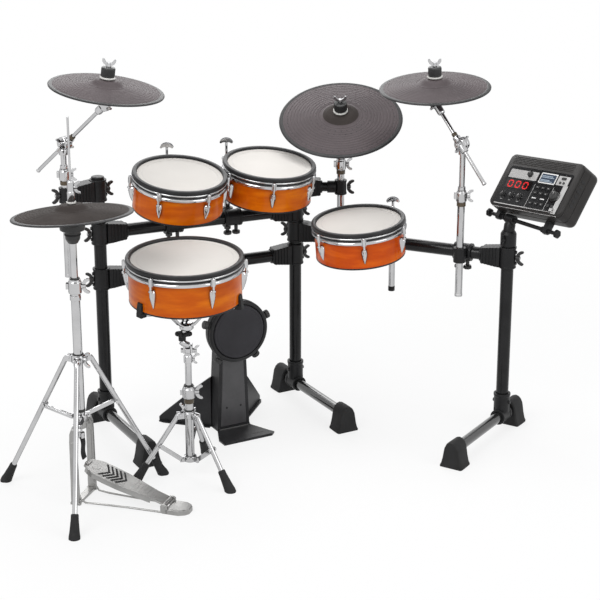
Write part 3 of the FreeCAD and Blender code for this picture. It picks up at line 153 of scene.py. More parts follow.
CHROME = surface("chrome", (0.47, 0.47, 0.475), (0.60, 0.60, 0.605), (0.05, 0.13), 240, metal=1.0, patch=9)
put(CHROME.node_tree.nodes["Principled BSDF"], {"Specular Tint": (0.22, 0.22, 0.23, 1.0)})
STEEL = surface("satin_steel", (0.29, 0.288, 0.282), (0.38, 0.377, 0.37), (0.27, 0.40), 600, 0.00004, metal=1.0)
RACK = surface("rack_black", (0.008, 0.008, 0.0085), (0.015, 0.015, 0.0155), (0.16, 0.25), 900, 0.00002, coat=0.12,
               coat_rough=0.08, level=0.15)
FOOT_BAR = surface("bar_black", (0.010, 0.010, 0.010), (0.018, 0.018, 0.018), (0.18, 0.28), 900, 0.00002, coat=0.7,
                   coat_rough=0.1)
CASTING = surface("casting_black", (0.007, 0.007, 0.0075), (0.015, 0.015, 0.016), (0.32, 0.46), 1100, 0.00005,
                  level=0.22)
RUBBER = surface("foot_rubber", (0.010, 0.010, 0.010), (0.022, 0.022, 0.023), (0.55, 0.75), 900, 0.00006, level=0.25)
RIM = surface("rim_rubber", (0.008, 0.008, 0.009), (0.018, 0.018, 0.019), (0.36, 0.52), 800, 0.00004, level=0.3)
PAD = surface("pad_rubber", (0.060, 0.048, 0.051), (0.094, 0.076, 0.080), (0.50, 0.64), 1400, 0.00005, patch=7,
              level=0.25)
# Darker copy of the pad rubber. On the hi-hat pad it is painted shade: the same rubber made darker to stand for less
# light falling on it. The ride pad's bell takes it too, as a darker bell.
DARKER_PAD = surface("pad_rubber_dark", (0.030, 0.025, 0.023), (0.050, 0.042, 0.039), (0.58, 0.72), 1400, 0.00005,
                   patch=7, level=0.08)
HEAD = surface("drum_head", (0.60, 0.573, 0.54), (0.64, 0.613, 0.58), (0.55, 0.68), 1600, 0.00003, patch=6, level=0.3)
TOWER = surface("tower_black", (0.014, 0.014, 0.015), (0.026, 0.026, 0.028), (0.36, 0.5), 1000, 0.00005, level=0.25)
CASE = surface("module_case", (0.014, 0.0125, 0.012), (0.023, 0.021, 0.020), (0.36, 0.52), 1500, 0.00004, level=0.25)
FACE = surface("module_face", (0.006, 0.006, 0.007), (0.011, 0.011, 0.012), (0.22, 0.32), 900, 0.00002, level=0.25)
KEY = surface("control_black", (0.010, 0.010, 0.010), (0.022, 0.022, 0.022), (0.34, 0.5), 1200, 0.00003)
FRONT = surface("tower_front", (0.052, 0.051, 0.054), (0.074, 0.072, 0.076), (0.30, 0.42), 1000, 0.00003)
KICK_FACE = surface("kick_rubber", (0.024, 0.023, 0.027), (0.036, 0.035, 0.041), (0.44, 0.58), 1400, 0.00004, patch=7,
                    level=0.25)
GREY = surface("panel_grey", (0.40, 0.395, 0.39), (0.50, 0.495, 0.49), (0.38, 0.5), 1100, 0.00002)
WHITE = surface("panel_white", (0.70, 0.70, 0.69), (0.80, 0.80, 0.79), (0.3, 0.42), 1100, 0.00002)
TRIM = surface("trim_silver", (0.60, 0.59, 0.58), (0.74, 0.73, 0.72), (0.18, 0.3), 700, metal=1.0)
GLASS = surface("display_glass", (0.006, 0.004, 0.004), (0.012, 0.008, 0.008), (0.08, 0.14), 300)
FELT = surface("white_felt", (0.66, 0.65, 0.62), (0.78, 0.77, 0.74), (0.8, 0.95), 2500, 0.0002)
HEAD_LINE = surface("head_line", (0.52, 0.50, 0.48), (0.60, 0.58, 0.56), (0.5, 0.6), 1500, 0.00002)
BAND = surface("memory_band", (0.055, 0.040, 0.022), (0.085, 0.062, 0.034), (0.3, 0.45), 900, 0.00003)
LACQUER = lacquer("amber_lacquer", 1.0)
# Darker, redder copy of the same lacquer for tom_3: painted shade, as if that shell were less lit.
SHADED_LACQUER = lacquer("shaded_amber_lacquer", 0.72)
SCREEN = lit("screen_blue", (0.035, 0.052, 0.085), 0.8)
SCREEN_LINE = lit("screen_light", (0.42, 0.50, 0.58), 0.9)
RED = lit("display_red", (0.80, 0.012, 0.016), 1.0)
SLOTS = {"rack_black": RACK, "rack_casting": CASTING, "foot_rubber": RUBBER, "chrome": CHROME, "lacquer": LACQUER,
         "head": HEAD, "rim_rubber": RIM, "pad_rubber": PAD, "pedal_steel": STEEL, "tower_black": TOWER,
         "module_case": CASE, "module_face": FACE, "control": KEY}
for row in frame["record"]["subparts"]:
    solid = frame["nodes"][row["node"]]
    solid.data.materials.clear()
    solid.data.materials.append(SLOTS[row["material_slot"]])


# Shapes
def flat(angle):
    return Vector((cos(radians(angle)), sin(radians(angle)), 0))


def stance(origin, along, across=RIGHT):
    """Frame at a point (metres) with Z along one direction and X near another."""
    z = Vector(along).normalized()
    y = z.cross(Vector(across)).normalized()
    return Matrix.Translation(origin) @ Matrix((y.cross(z), y, z)).transposed().to_4x4()


def facing(origin, along):
    """Frame with Z along a direction, and X near the right, or up for a level direction to the right."""
    return stance(origin, along, RIGHT if abs(Vector(along).normalized().x) < 0.9 else UP)


def rounded(profile, radius, steps):
    """Closed profile with its corners rounded, a corner on the axis left as it is."""
    out = []
    n = len(profile)
    for i, p in enumerate(profile):
        p = Vector(p)
        a, b = Vector(profile[i - 1]) - p, Vector(profile[(i + 1) % n]) - p
        reach = min(radius, a.length * 0.45, b.length * 0.45)
        if p.x < 1e-6 or reach < 1e-6:
            out.append(tuple(p))
            continue
        first, last = p + a.normalized() * reach, p + b.normalized() * reach
        for k in range(steps + 1):
            t = k / steps
            out.append(tuple(first * (1 - t) ** 2 + p * 2 * t * (1 - t) + last * t ** 2))
    return out


def ring(radius, length, bore=0.0):
    """Section of a round bar, or of a tube where it has a bore."""
    return [(bore, 0), (radius, 0), (radius, length), (bore, length)]


def mirrored(half):
    """Outline from its right half, from the top or the bottom round to the other end."""
    return half + [(-x, y) for x, y in half[::-1] if x]


def knurl(depth, count, least, low=-inf, high=inf):
    """Ripple of a turned form: grooves where the radius is over the least and the height lies between two."""
    def ripple(r, z, a):
        return r - depth * (0.5 + 0.5 * cos(count * a)) if r > least and low < z < high else r
    return ripple


class Shape:
    """Points (metres) and faces gathered from simple forms; forms are given in millimetres in a frame."""

    def __init__(self):
        self.points, self.faces, self.marks = [], [], []

    def add(self, points, faces, place, mark=0):
        base = len(self.points)
        self.points += [place @ (Vector(p) / 1000) for p in points]
        self.faces += [[base + i for i in f] for f in faces]
        self.marks += [mark] * len(faces)

    def lathe(self, profile, place, soft=0.0, mark=0, steps=64, ripple=None, corner=4):
        """Closed profile of (radius, height) turned about Z; a ripple changes the radius by angle."""
        if soft:
            profile = rounded(profile, soft, corner)
        count = len(profile)
        points, faces = [], []
        for s in range(steps):
            a = 2 * pi * s / steps
            for r, z in profile:
                k = ripple(r, z, a) if ripple else r
                points.append((k * cos(a), k * sin(a), z))
            t = (s + 1) % steps
            for i in range(count):
                j = (i + 1) % count
                if profile[i][0] >= 1e-6 or profile[j][0] >= 1e-6:
                    faces.append([s * count + i, t * count + i, t * count + j, s * count + j])
        self.add(points, faces, place, mark)

    def turned(self, start, along, profile, soft=0.0, mark=0, steps=40, ripple=None, corner=4):
        self.lathe(profile, facing(start, along), soft, mark, steps, ripple, corner)

    def bar(self, start, along, radius, length, soft=0.0, mark=0, steps=40, bore=0.0):
        self.turned(start, along, ring(radius, length, bore), soft, mark, steps)

    def stack(self, start, along, *forms):
        """Turned forms on one axis: how far along (millimetres), then the profile and the rest for turned()."""
        for far, *form in forms:
            self.turned(start + along * far / 1000, along, *form)

    def loft(self, rows, place, mark=0):
        """Closed body through rows with the same number of points."""
        n, last = len(rows[0]), len(rows) - 1
        faces = [list(range(n - 1, -1, -1)), list(range(last * n, last * n + n))]
        for k in range(0, last * n, n):
            faces += [[k + i, k + (i + 1) % n, k + n + (i + 1) % n, k + n + i] for i in range(n)]
        self.add([p for row in rows for p in row], faces, place, mark)

    def slab(self, outline, low, high, place, mark=0):
        """Outline in X and Y pulled along Z."""
        self.loft([[(x, y, z) for x, y in outline] for z in (low, high)], place, mark)

    def box(self, x, y, z, place, mark=0):
        self.slab([(x[0], y[0]), (x[1], y[0]), (x[1], y[1]), (x[0], y[1])], z[0], z[1], place, mark)

    def pipe(self, path, radius, steps, place):
        """Round bar along a row of points, with flat ends."""
        path = [place @ mm(*p) for p in path]
        side = UP if abs((path[1] - path[0]).normalized().z) < 0.9 else RIGHT
        rows = []
        for i, p in enumerate(path):
            way = (path[min(i + 1, len(path) - 1)] - path[max(i - 1, 0)]).normalized()
            across = way.cross(side).normalized()
            turns = [2 * pi * s / steps for s in range(steps)]
            rows.append([p * 1000 + (across * cos(a) + across.cross(way) * sin(a)) * radius for a in turns])
        self.loft(rows, Matrix())


def piece(name, shape, mats, body, nodes=None, edge=0.0, angle=34.0):
    """Object made from a shape: it rides a body, stands for its node or nodes and takes a slot's finish."""
    mesh = bpy.data.meshes.new("dressed_" + name)
    mesh.from_pydata(shape.points, [], shape.faces)
    for mat in mats:
        mesh.materials.append(mat)
    mesh.polygons.foreach_set("material_index", shape.marks)
    form = bmesh.new()
    form.from_mesh(mesh)
    bmesh.ops.remove_doubles(form, verts=form.verts, dist=1e-7)
    bmesh.ops.dissolve_degenerate(form, edges=form.edges, dist=1e-7)
    bmesh.ops.recalc_face_normals(form, faces=form.faces)
    form.to_mesh(mesh)
    form.free()
    mesh.polygons.foreach_set("use_smooth", [True] * len(mesh.polygons))
    mesh.set_sharp_from_angle(angle=radians(angle))
    obj = bpy.data.objects.new("dressed_" + name, mesh)
    bpy.context.collection.objects.link(obj)
    if edge:
        bevel = obj.modifiers.new("edges", "BEVEL")
        bevel.width = edge / 1000
        bevel.segments = 2
        bevel.limit_method = "ANGLE"
        bevel.angle_limit = radians(angle)
        bevel.harden_normals = True
    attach(obj, body)
    nodes = [name] if nodes is None else nodes
    if nodes:
        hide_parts(*nodes)


def lean_axis(spec):
    """Axis of a drum or pad that leans towards the player and rolls to a side."""
    return Vector((tan(radians(spec["roll"])), -tan(radians(spec["lean"])), 1)).normalized()


def leaning(spec):
    return stance(at(*spec["centre"]), lean_axis(spec))


def wing(shape, foot, outward, size=1.0, hub=8.0, across=UP, dot=None):
    """Wing bolt or nut: a round hub with two swept, rounded wings."""
    place = stance(foot, outward, across)
    k = size
    shape.lathe([(0, 0), (hub * k, 0), (hub * k * 0.86, 12 * k), (0, 12 * k)], place, 1.5 * k, 0, 24)
    for side in (1, -1):
        outline = [(3, 2), (9, 0.5), (18, 7), (22.2, 14), (22.8, 20), (20, 23.6), (16, 22.5), (12.5, 16), (8, 11.5),
                   (3, 10.5)]
        shape.slab([(x * side * k, y * k) for x, y in outline[::side]], -2.8 * k, 2.8 * k, place @ UPRIGHT)
    if dot is not None:
        shape.lathe([(0, 12 * k), (hub * 0.55 * k, 12 * k), (hub * 0.5 * k, 13.2 * k), (0, 13.2 * k)], place, 0.4, dot,
                    20)


def knob(shape, foot, outward, lobes=7):
    """Lobed knob on a neck."""
    radius, neck, height = 13.0, 16.0, 11.0
    top = neck + height
    place = facing(foot, outward)
    shape.lathe([(0, 0), (radius * 0.46, 0), (radius * 0.42, neck), (0, neck)], place, steps=24)
    profile = [(0, neck - 1), (radius * 0.8, neck - 1), (radius, neck + 2), (radius, top - 2), (radius * 0.78, top),
               (0, top)]
    shape.lathe(profile, place, 1.6, 0, 84, lambda r, z, a: r * (0.95 - 0.05 * cos(lobes * a)) if r > radius * 0.6
                else r)


# Drums: head centre, lean, roll, first lug, rod, handle top and rod foot, in the layout's millimetres
TOMS = {
    "tom_1": dict(centre=(-353, 16, 819), lean=8.3, roll=5.7, lug=-110.5, rod=(-403, 184), top=876, bottom=585),
    "tom_2": dict(centre=(-92, 147, 818), lean=6.4, roll=5.0, lug=-83, rod=(-226, 260), top=873, bottom=585),
    "tom_3": dict(centre=(174, 40, 671), lean=3.0, roll=-4.6, lug=-86, rod=(286, 218), top=697, bottom=396)}
TOM_RADIUS, TOM_DEPTH = 127.0, 105.0
SNARE = dict(centre=(-322, -300, 663), lean=2.9, roll=0.0, lug=-119.5)
SNARE_RADIUS, SNARE_DEPTH = 152.5, 120.0
LUGS = 6


def teardrop(shape, place, radius, top, size):
    """Cast lug on the shell: full at the top, drawn out to a point below."""
    rows = [(0.0, 6.2, 9.5), (0.04, 7.6, 12.0), (0.12, 9.2, 14.6), (0.25, 9.8, 15.4), (0.42, 9.0, 14.2),
            (0.6, 7.2, 11.6), (0.76, 5.2, 8.6), (0.9, 3.0, 5.6), (0.97, 1.7, 3.6), (1.0, 0.6, 1.8)]
    steps, length = 14, 44 * size
    turns = [pi * (i / steps - 0.5) for i in range(steps + 1)]
    shape.loft([[(radius - 1.2 + depth * cos(a), half * sin(a), top - length * share) for a in turns]
                for share, half, depth in rows], place)


def drum(name, body, spec, R, depth):
    """Shell, head, rubber rim and chrome hardware of one drum, head centre at the frame's origin."""
    place = leaning(spec)
    low = -depth
    wood = Shape()
    wood.lathe([(R - 5, low + 5), (R + 7, low + 5), (R + 7, -40), (R + 7, -4), (R - 5, -4)], place, steps=128)
    wood.lathe([(R - 5, low), (R + 6.8, low), (R + 7.5, low + 1.4), (R + 7.2, low + 5), (R - 5, low + 5)], place, 0.6,
               1, 128)
    wood.lathe([(0, low + 12), (R - 5.2, low + 12), (R - 5.2, low + 15), (0, low + 15)], place, 0, 1, 96)
    # tom_3's shell takes the shaded copy of the lacquer: painted shade.
    piece(name + "_shell", wood, [SHADED_LACQUER if name == "tom_3" else LACQUER, RIM], body)
    skin = Shape()
    skin.lathe([(0, -4), (0, 0.4), (R * 0.5, 0.2), (R - 17.6, -0.2), (R - 17.3, -0.2), (R - 17.3, -4)], place,
               steps=128)
    skin.lathe([(R - 17.3, -4), (R - 17.3, -0.5), (R - 15.2, -0.5), (R - 15.2, -4)], place, 0, 1, 128)
    skin.lathe([(R - 15.2, -4), (R - 15.2, -0.1), (R - 14.6, 0.1), (R - 0.3, 0.6), (R - 0.3, -4)], place, steps=128)
    piece(name + "_head", skin, [HEAD, HEAD_LINE], body, angle=60)
    rim = Shape()
    rim.lathe([(R, -4), (R + 13.4, -4), (R + 14.6, 1), (R + 13, 8), (R, 8)], place, 5.4, 0, 128, corner=6)
    piece(name + "_rim", rim, [RIM], body)
    metal = Shape()
    hoop = [(7.3, -4.1), (13.6, -4.1), (15.2, -5.6), (14.8, -8.6), (11, -9.6), (11, -16), (14, -17.2), (15.8, -20),
            (15, -25.6), (7.3, -26)]
    metal.lathe([(R + r, z) for r, z in hoop], place, 0.9, 0, 128, corner=3)
    # Black rubber ring in the groove between the hoop's flanges: painted shade, a dark sheet where the groove lies in
    # shade.
    metal.lathe([(R + 10.6, -16.2), (R + 11.4, -16), (R + 11.4, -9.7), (R + 10.6, -9.5)], place, 0, 1, 128)
    for i in range(LUGS):
        turn = place @ turn_z(spec["lug"] + 360 / LUGS * i)
        metal.box((R + 10.5, R + 18.6), (-7, 7), (-27, -5.4), turn)
        metal.box((R + 9.5, R + 16.4), (-5, 5), (-5.4, -3.6), turn)
        bolt = turn @ shift(R + 18.8, 0, 0)
        metal.lathe([(0, -54), (3.4, -54), (3.4, -27), (5.2, -27), (5.4, -9), (4.6, -4.6), (3.2, -3.8), (0, -3.8)],
                    bolt, 0.5, 0, 20)
        metal.lathe([(0, -5), (2.6, -5), (2.6, -2), (0, -2)], bolt, steps=4)
        teardrop(metal, turn, R + 7, -40, R / 118.0)
        metal.lathe([(3.5, -44), (6.2, -44), (6.2, -38.6), (3.5, -38.6)], bolt, 0.8, 0, 20)
    if "rod" in spec:
        tom_bracket(metal, spec, R)
    piece(name + "_hardware", metal, [CHROME, RIM, CASTING], body, edge=0.7)


def tom_pin(spec):
    """Tilt pin of a tom beside its rod (millimetres), the way from the rod to the drum, and the pin's axis."""
    head, rod = Vector(spec["centre"]), Vector(spec["rod"] + (0,))
    axis = lean_axis(spec)
    away = rod - head
    away.z = 0
    plane = head.z - (axis.x * away.x + axis.y * away.y) / axis.z
    inward = -away.normalized()
    return Vector((rod.x, rod.y, plane - 52)) + inward * 23, inward, UP.cross(inward)


def tom_bracket(shape, spec, radius):
    """Two ears and a pin on the holder's boss, with a plate on the drum's wood ring."""
    point, inward, across = tom_pin(spec)
    pin = at(*point)
    place = stance(pin, UP, inward)
    reach = (Vector(spec["centre"]) - point).xy.length - radius - 3
    for side in (1, -1):
        shape.box((-10, reach), sorted((7.4 * side, 14.4 * side)), (-10, 10), place, 2)
        shape.turned(pin + across * 0.0142 * side, across * side, [(0, 0), (8, 0), (7, 4), (0, 4)], 1, 0, 24)
    shape.box((reach - 8, reach), (-20, 20), (-17, 17), place, 2)
    shape.bar(pin - across * 0.0144, across, 5, 28.8, steps=28)


def tom_holders():
    """Upright rods with umbrella-shaped T-handles, chrome collars and the black tilt blocks."""
    metal = Shape()
    handle = mirrored([(0, 9.2), (5, 8.6), (12, 6), (17.5, 1.5), (20.5, -4.5), (17, -7), (11, -4), (5, -3), (0, -3)])
    for spec in TOMS.values():
        point, inward, across = tom_pin(spec)
        z, top, low = point.z, spec["top"], spec["bottom"]
        base, stem = at(*spec["rod"], 0), top - z - 30
        metal.stack(base, UP, (low, ring(9.5, z + 24 - low), 1, 0, 32), (low - 1.5, ring(10.4, 15.5), 1.2, 2, 32),
                    (z - 15, ring(13, 30), 1.5, 2, 32), (z + 15, ring(14.5, 8, 9.6), 2.2, 0, 32),
                    (z + 23, [(0, 0), (7.5, 0), (6, 6), (4, 9), (4, stem), (0, stem)], 0.8, 0, 24),
                    (top - 15, [(0, 0), (5.5, 1), (6.5, 4), (5, 8), (0, 9)], 1, 0, 24))
        metal.box((0, 23), (-7, 7), (z - 10, z + 10), stance(base, UP, inward), 2)
        metal.bar(at(*point) - across * 0.007, across, 10, 14, 0.8, 2, 32, 5.2)
        metal.slab(handle, -7.5, 7.5, shift(0, 0, top - 9) @ stance(base, UP) @ UPRIGHT)
    piece("tom_holders", metal, [CHROME, RIM, CASTING], "root", edge=0.8)


for name, spec in TOMS.items():
    drum(name, name, spec, TOM_RADIUS, TOM_DEPTH)
drum("snare", "snare_drum", SNARE, SNARE_RADIUS, SNARE_DEPTH)
tom_holders()


# Cymbal pads: centre, lean, roll, radius, bell radius
PADS = {
    "crash_left": dict(centre=(-543, -111, 1118), lean=2.3, roll=8.0, radius=165.0, bell=46.0),
    "crash_right": dict(centre=(397, 108, 1076), lean=5.3, roll=-2.7, radius=165.0, bell=46.0),
    "ride": dict(centre=(125, 295, 936), lean=24.2, roll=-2.4, radius=190.5, bell=57.0),
    "hihat": dict(centre=(-612, -445, 848), lean=-5.5, roll=-3.6, radius=166.0, bell=46.0)}
GROOVES = 11
BELL_STEPS = 12
DOT_RINGS = 7


def pad_profile(radius, bell):
    """Closed section of a rubber pad: flat crown, smooth bell, shallow bow with fine grooves, thick soft edge."""
    crown, foot, edge = bell * 0.6, bell * 1.15, radius - 13
    upper = [(9.2, 13.0)]
    for i in range(BELL_STEPS + 1):
        t = i / BELL_STEPS
        upper.append((crown + (foot - crown) * t, 13.0 - 14.014 * t * t * (3 - 2 * t)))
    low, start = -15.0, upper[-1][1]
    upper += [(foot + dr, start - dz) for dr, dz in ((0.5, 0.1), (1.0, 0.9), (2.6, 1.0), (3.2, 0.3))]

    def bow(r):
        t = (r - foot) / (radius - foot)
        return start + (low - start) * (0.82 * t + 0.18 * t * t)
    for k in range(GROOVES):
        r = foot + 3 + (edge - foot - 3) * (k + 0.6) / GROOVES
        upper += [(r + dr, bow(r + dr) + dz) for dr, dz in ((-1.1, 0), (-0.5, -0.55), (0.5, -0.55), (1.1, 0))]
    rim = bow(radius)
    upper += [(edge, bow(edge)), (edge + 1.0, bow(edge) - 0.9), (edge + 2.4, bow(edge) - 0.7), (radius - 4, rim + 0.6),
              (radius - 1.4, rim - 0.4), (radius, rim - 2.2), (radius - 0.4, low - 3.8), (radius - 2.4, low - 4.4)]
    return upper + [(radius - 12, low - 3.6), (foot, start - 6.6), (crown, 6.0), (9.2, 6.0)]


def pads():
    for name, spec in PADS.items():
        place = leaning(spec)
        disc = Shape()
        profile = pad_profile(spec["radius"], spec["bell"])
        disc.lathe(profile, place, steps=160)
        count = len(profile)
        for k in range(len(disc.faces)):
            near, far = sorted((profile[k % count][0], profile[(k + 1) % count][0]))
            if near >= spec["radius"] - 12.5:
                disc.marks[k] = 1
            elif name == "ride" and far <= spec["bell"] * 0.98:
                disc.marks[k] = 2
        for ring in range(DOT_RINGS if name == "ride" else 0):
            r = 78 + 14.5 * ring
            dots = 28 + 5 * ring
            z = -1.1 - 13.9 * (r - 65.5) / 125.0
            for i in range(dots):
                spot = place @ turn_z(360 * (i + 0.5 * (ring % 2)) / dots) @ shift(r, 0, z)
                disc.lathe([(0, -0.5), (2.3, -0.5), (1.8, 0.5), (0, 0.6)], spot, 0, 1, 10)
        # The hi-hat pad takes the darker copy of the rubber: painted shade.
        rubber = DARKER_PAD if name == "hihat" else PAD
        piece(name + "_pad", disc, [rubber, RIM, DARKER_PAD], name + "_top", angle=40)


def hub(shape, spec):
    """Felts, knurled black hub, white ring and post over a pad, with the wing nut on top."""
    place = leaning(spec)
    shape.lathe([(6.2, -11.8), (15, -11.8), (15, 3.4), (6.2, 3.4)], place, 2, 3, 32)
    shape.lathe([(6.2, 15.5), (22.5, 15.5), (22.5, 20.3), (6.2, 20.3)], place, 1.6, 3, 48)
    shape.lathe([(6.2, 20.5), (19, 20.5), (20, 23), (20, 25), (20, 44), (19, 47), (14, 48.3), (6.2, 48.3)], place, 0.8,
                1, 120, knurl(0.7, 30, 18, 24, 45), 3)
    shape.lathe([(0, -62), (6, -62), (6, 54), (0, 54)], place, steps=24)
    wing(shape, place @ mm(0, 0, 51.5), lean_axis(spec), 0.86, 7, RIGHT)


pads()


# Rack: posts, runs, arms and feet in the layout's millimetres
POSTS = {"left": (-600, 56), "centre": (-15, 312), "right": (622, 32)}
TOPS = {"left": 802, "centre": 742, "right": 640}
TURNS = {"left": 28.5, "centre": 29.0, "right": -32.0}
CRASH_LEFT_TUBE, CRASH_RIGHT_TUBE, RIDE_TUBE = (-690, 0), (480, 54), (127, 310)
RUNS = [("left", POSTS["centre"], 630), ("left", POSTS["centre"], 488), ("centre", POSTS["right"], 563)]
ARMS = [("left", CRASH_LEFT_TUBE, 764), ("centre", RIDE_TUBE, 705)]
HELD = [(0, TOMS["tom_1"]["rod"], 9.5), (0, TOMS["tom_2"]["rod"], 9.5), (2, TOMS["tom_3"]["rod"], 9.5),
        (2, CRASH_RIGHT_TUBE, 11.0)]
PIPE, ARM, FOOT_PIPE = 19, 15, 16
BAR_HEIGHT = 52


def level(a, b):
    """Direction and distance from one place on the plan to another."""
    way = Vector((*b, 0)) - Vector((*a, 0))
    return way.normalized(), way.length


def banded(bore, radius, waist, band, length):
    """Section of a sleeve with a raised band at each end."""
    return [(bore, 0), (radius, 0), (radius, band), (waist, band + 1), (waist, length - band - 1),
            (radius, length - band), (radius, length), (bore, length)]


def casting(shape, post, height, along, bore):
    """Ribbed sleeve round a post, with a tapered ribbed socket for a level pipe."""
    middle = at(*post, height)
    place = stance(middle, UP, along)
    shape.lathe(banded(19.3, 26, 24.6, 5, 66), place @ shift(0, 0, -33), 1.4, 0, 56, corner=3)
    shape.slab([(20, -31), (34, -30), (78, -24), (80, -22), (80, 22), (78, 24), (34, 30), (20, 31)], -20.5, 20.5,
               place @ UPRIGHT)
    for x, tall in ((34, 29.5), (44, 28.2), (54, 26.9), (64, 25.6), (74, 24.6)):
        shape.box((x - 2.2, x + 2.2), (-23, 23), (-tall, tall), place)
    shape.turned(middle + along * 0.079, along, [(bore + 0.3, 0), (bore + 5, 0), (bore + 4, 6), (bore + 0.3, 6)], 1.2,
                 0, 48)
    for z in (-17, 17):
        shape.bar(at(*post, height + z) - along * 0.0238, -along, 5.5, 4.5, 0.8, 0, 6)


def foot_casting(shape, post, front):
    place = stance(at(*post, 0), UP, front)
    across = UP.cross(front)
    shape.lathe([(19.3, 66), (24.5, 66), (24.5, 116), (26, 118), (26, 126), (19.3, 126)], place, 1.4, 0, 56)
    shape.turned(at(*post, BAR_HEIGHT) - front * 0.028, front, banded(16.3, 24, 22.6, 7, 56), 1.2, 0, 48)
    shape.box((-20, 20), (-17, 17), (58, 80), place)
    for side in (1, -1):
        shape.bar(at(*post, 98) + across * 0.0238 * side, across * side, 6, 5, 0.9, 0, 6)


def shoe(shape, centre, outward):
    """Arched rubber shoe, drawn out and flared towards the floor."""
    section = mirrored([(37, 0), (37, 5), (33, 12), (28.5, 30), (25.5, 48), (23, 62), (17, 74), (9, 81), (0, 83.6)])
    rows = [(-31, 0.86), (-27, 0.97), (0, 1.0), (22, 1.0), (29, 0.95), (31, 0.86)]
    shape.loft([[(x, y * k, z * (0.55 + 0.45 * k)) for y, z in section] for x, k in rows],
               stance(centre, UP, outward))


def rack():
    joints, bolts, feet, bars = Shape(), Shape(), Shape(), Shape()

    def bolt(spot, outward):
        wing(bolts, spot, outward, dot=1)
    for name, post in POSTS.items():
        front = flat(TURNS[name] - 90)
        top = TOPS[name]
        foot_casting(joints, post, front)
        bars.bar(at(*post, 76), UP, PIPE, top - 76, 1.2, 0, 56)
        bars.bar(at(*post, BAR_HEIGHT) - front * 0.095, front, FOOT_PIPE, 422, 0, 2, 48)
        if name != "right":
            bars.turned(at(*post, top), UP, [(0, -3), (19.6, -3), (19.6, 2.4), (15, 4), (0, 4)], 1.2, 1, 48)
        shoe(feet, at(*post, 0) + front * 0.310, front)
        shoe(feet, at(*post, 0) - front * 0.078, -front)
    for start, end, height in RUNS:
        post = POSTS[start]
        along, length = level(post, end)
        casting(joints, post, height, along, PIPE)
        casting(joints, end, height, -along, PIPE)
        bars.bar(at(*post, height) + along * 0.029, along, PIPE, length - 58, 0, 0, 56)
        bolt(at(*post, height) - along * 0.026, -along)
        bolt(at(*end, height) + along * 0.026, along)
    for start, tube, height in ARMS:
        post = POSTS[start]
        along, length = level(post, tube)
        casting(joints, post, height, along, ARM)
        joints.turned(at(*tube, height - 23), UP, banded(11.3, 19, 17.8, 6, 46), 1, 0, 48)
        joints.bar(at(*tube, height) - along * 0.015, -along, 19, 27, 1.5, 0, 48)
        bars.bar(at(*post, height) + along * 0.03, along, ARM, length - 50, 0, 0, 48)
        bolt(at(*post, height) - along * 0.026, -along)
        bolt(at(*tube, height) + along * 0.019, along)
    for run, held, radius in HELD:
        start, end, height = RUNS[run]
        along = level(POSTS[start], end)[0]
        first, spot = Vector((*POSTS[start], 0)), Vector((*held, 0))
        base = first + along * (spot - first).dot(along)
        sideways = spot - base
        reach = sideways.length
        middle = at(base.x, base.y, height)
        joints.turned(middle - along * 0.028, along, banded(19.3, 27, 25.4, 8, 56), 1.2, 0, 56)
        joints.bar(at(*held, height - 23), UP, radius + 8, 46, 1.6, 0, 40, radius + 0.3)
        joints.box((20 if reach > 30 else 0, reach - radius), (-14, 14), (-15, 15), stance(middle, UP, sideways))
        for side in (1, -1):
            knob(bolts, middle + along * 0.014 * side - UP * 0.0265, -UP)
    piece("rack_joints", joints, [CASTING], "root", edge=1.0)
    piece("rack_bolts", bolts, [KEY, CHROME], "root", ["rack_wing_bolts"], edge=0.8)
    piece("rack_feet", feet, [RUBBER], "root", ["rack_rubber_feet"], edge=1.6)
    piece("rack_tubes", bars, [RACK, CASTING, FOOT_BAR], "root", ["rack_pipes", "rack_legs"])


rack()


# Cymbal stands and booms: tube, foot, collar and pivot heights, and how far the boom reaches back
STANDS = {"crash_left": dict(tube=CRASH_LEFT_TUBE, bottom=513, collar=826, pivot=918, tail=176),
          "crash_right": dict(tube=CRASH_RIGHT_TUBE, bottom=434, collar=746, pivot=905, tail=140),
          "ride": dict(tube=RIDE_TUBE, bottom=600, collar=778, pivot=840)}
POST_FOOT = 0.062


def boom_axes(name):
    """Pivot on the stand, tip under the pad, the pivot's axis, and the boom's clamp on it."""
    pivot = at(*STANDS[name]["tube"], STANDS[name]["pivot"])
    tip = at(*PADS[name]["centre"]) - lean_axis(PADS[name]) * POST_FOOT
    way = tip - pivot
    way.z = 0
    side = UP.cross(way).normalized()
    return pivot, tip, side, pivot + side * 0.0144


def cymbal_stands():
    metal = Shape()
    for name, spec in STANDS.items():
        x, y = spec["tube"]
        low, collar, top = spec["bottom"], spec["collar"], spec["pivot"]
        pivot = at(x, y, top)
        sleeve = [(8.6, -17), (15, -17), (16, -14), (16, 10), (13.4, 13), (13.4, 17), (8.6, 17)]
        metal.stack(at(x, y, 0), UP, (low, ring(11, collar - low), 1), (low - 2, ring(11.6, 9), 1.2),
                    (collar, sleeve, 1), (collar - 31, ring(13.6, 12, 11), 0.8, 2),
                    (collar + 18.5, ring(11.4, 9.5, 8.5), 0.8), (collar, ring(8.5, top - collar - 13), 0, 0, 36),
                    (top, [(0, -33), (13, -33), (13, -17), (8, -11), (0, -11)], 1.2))
        wing(metal, at(x + 15.8, y, collar), RIGHT, 0.85)
        metal.box((-22, -12), (-6, 6), (-9, 9), stance(at(x, y, collar), UP))
        side, half, r = (RIGHT, 8.0, 15.0) if name == "ride" else (boom_axes(name)[2], 7.0, 20.0)
        deep = half * 2
        disc = [(4.2, 0), (r - 2, 0), (r, 2), (r, deep - 2), (r - 2, deep), (4.2, deep)]
        metal.turned(pivot - side * half / 1000, side, disc, 0.8, 0, 48)
        if name != "ride":
            wing(metal, pivot - side * 0.0074, -side, 0.85)
    piece("cymbal_stands", metal, [CHROME, KEY, BAND], "root", edge=0.6)


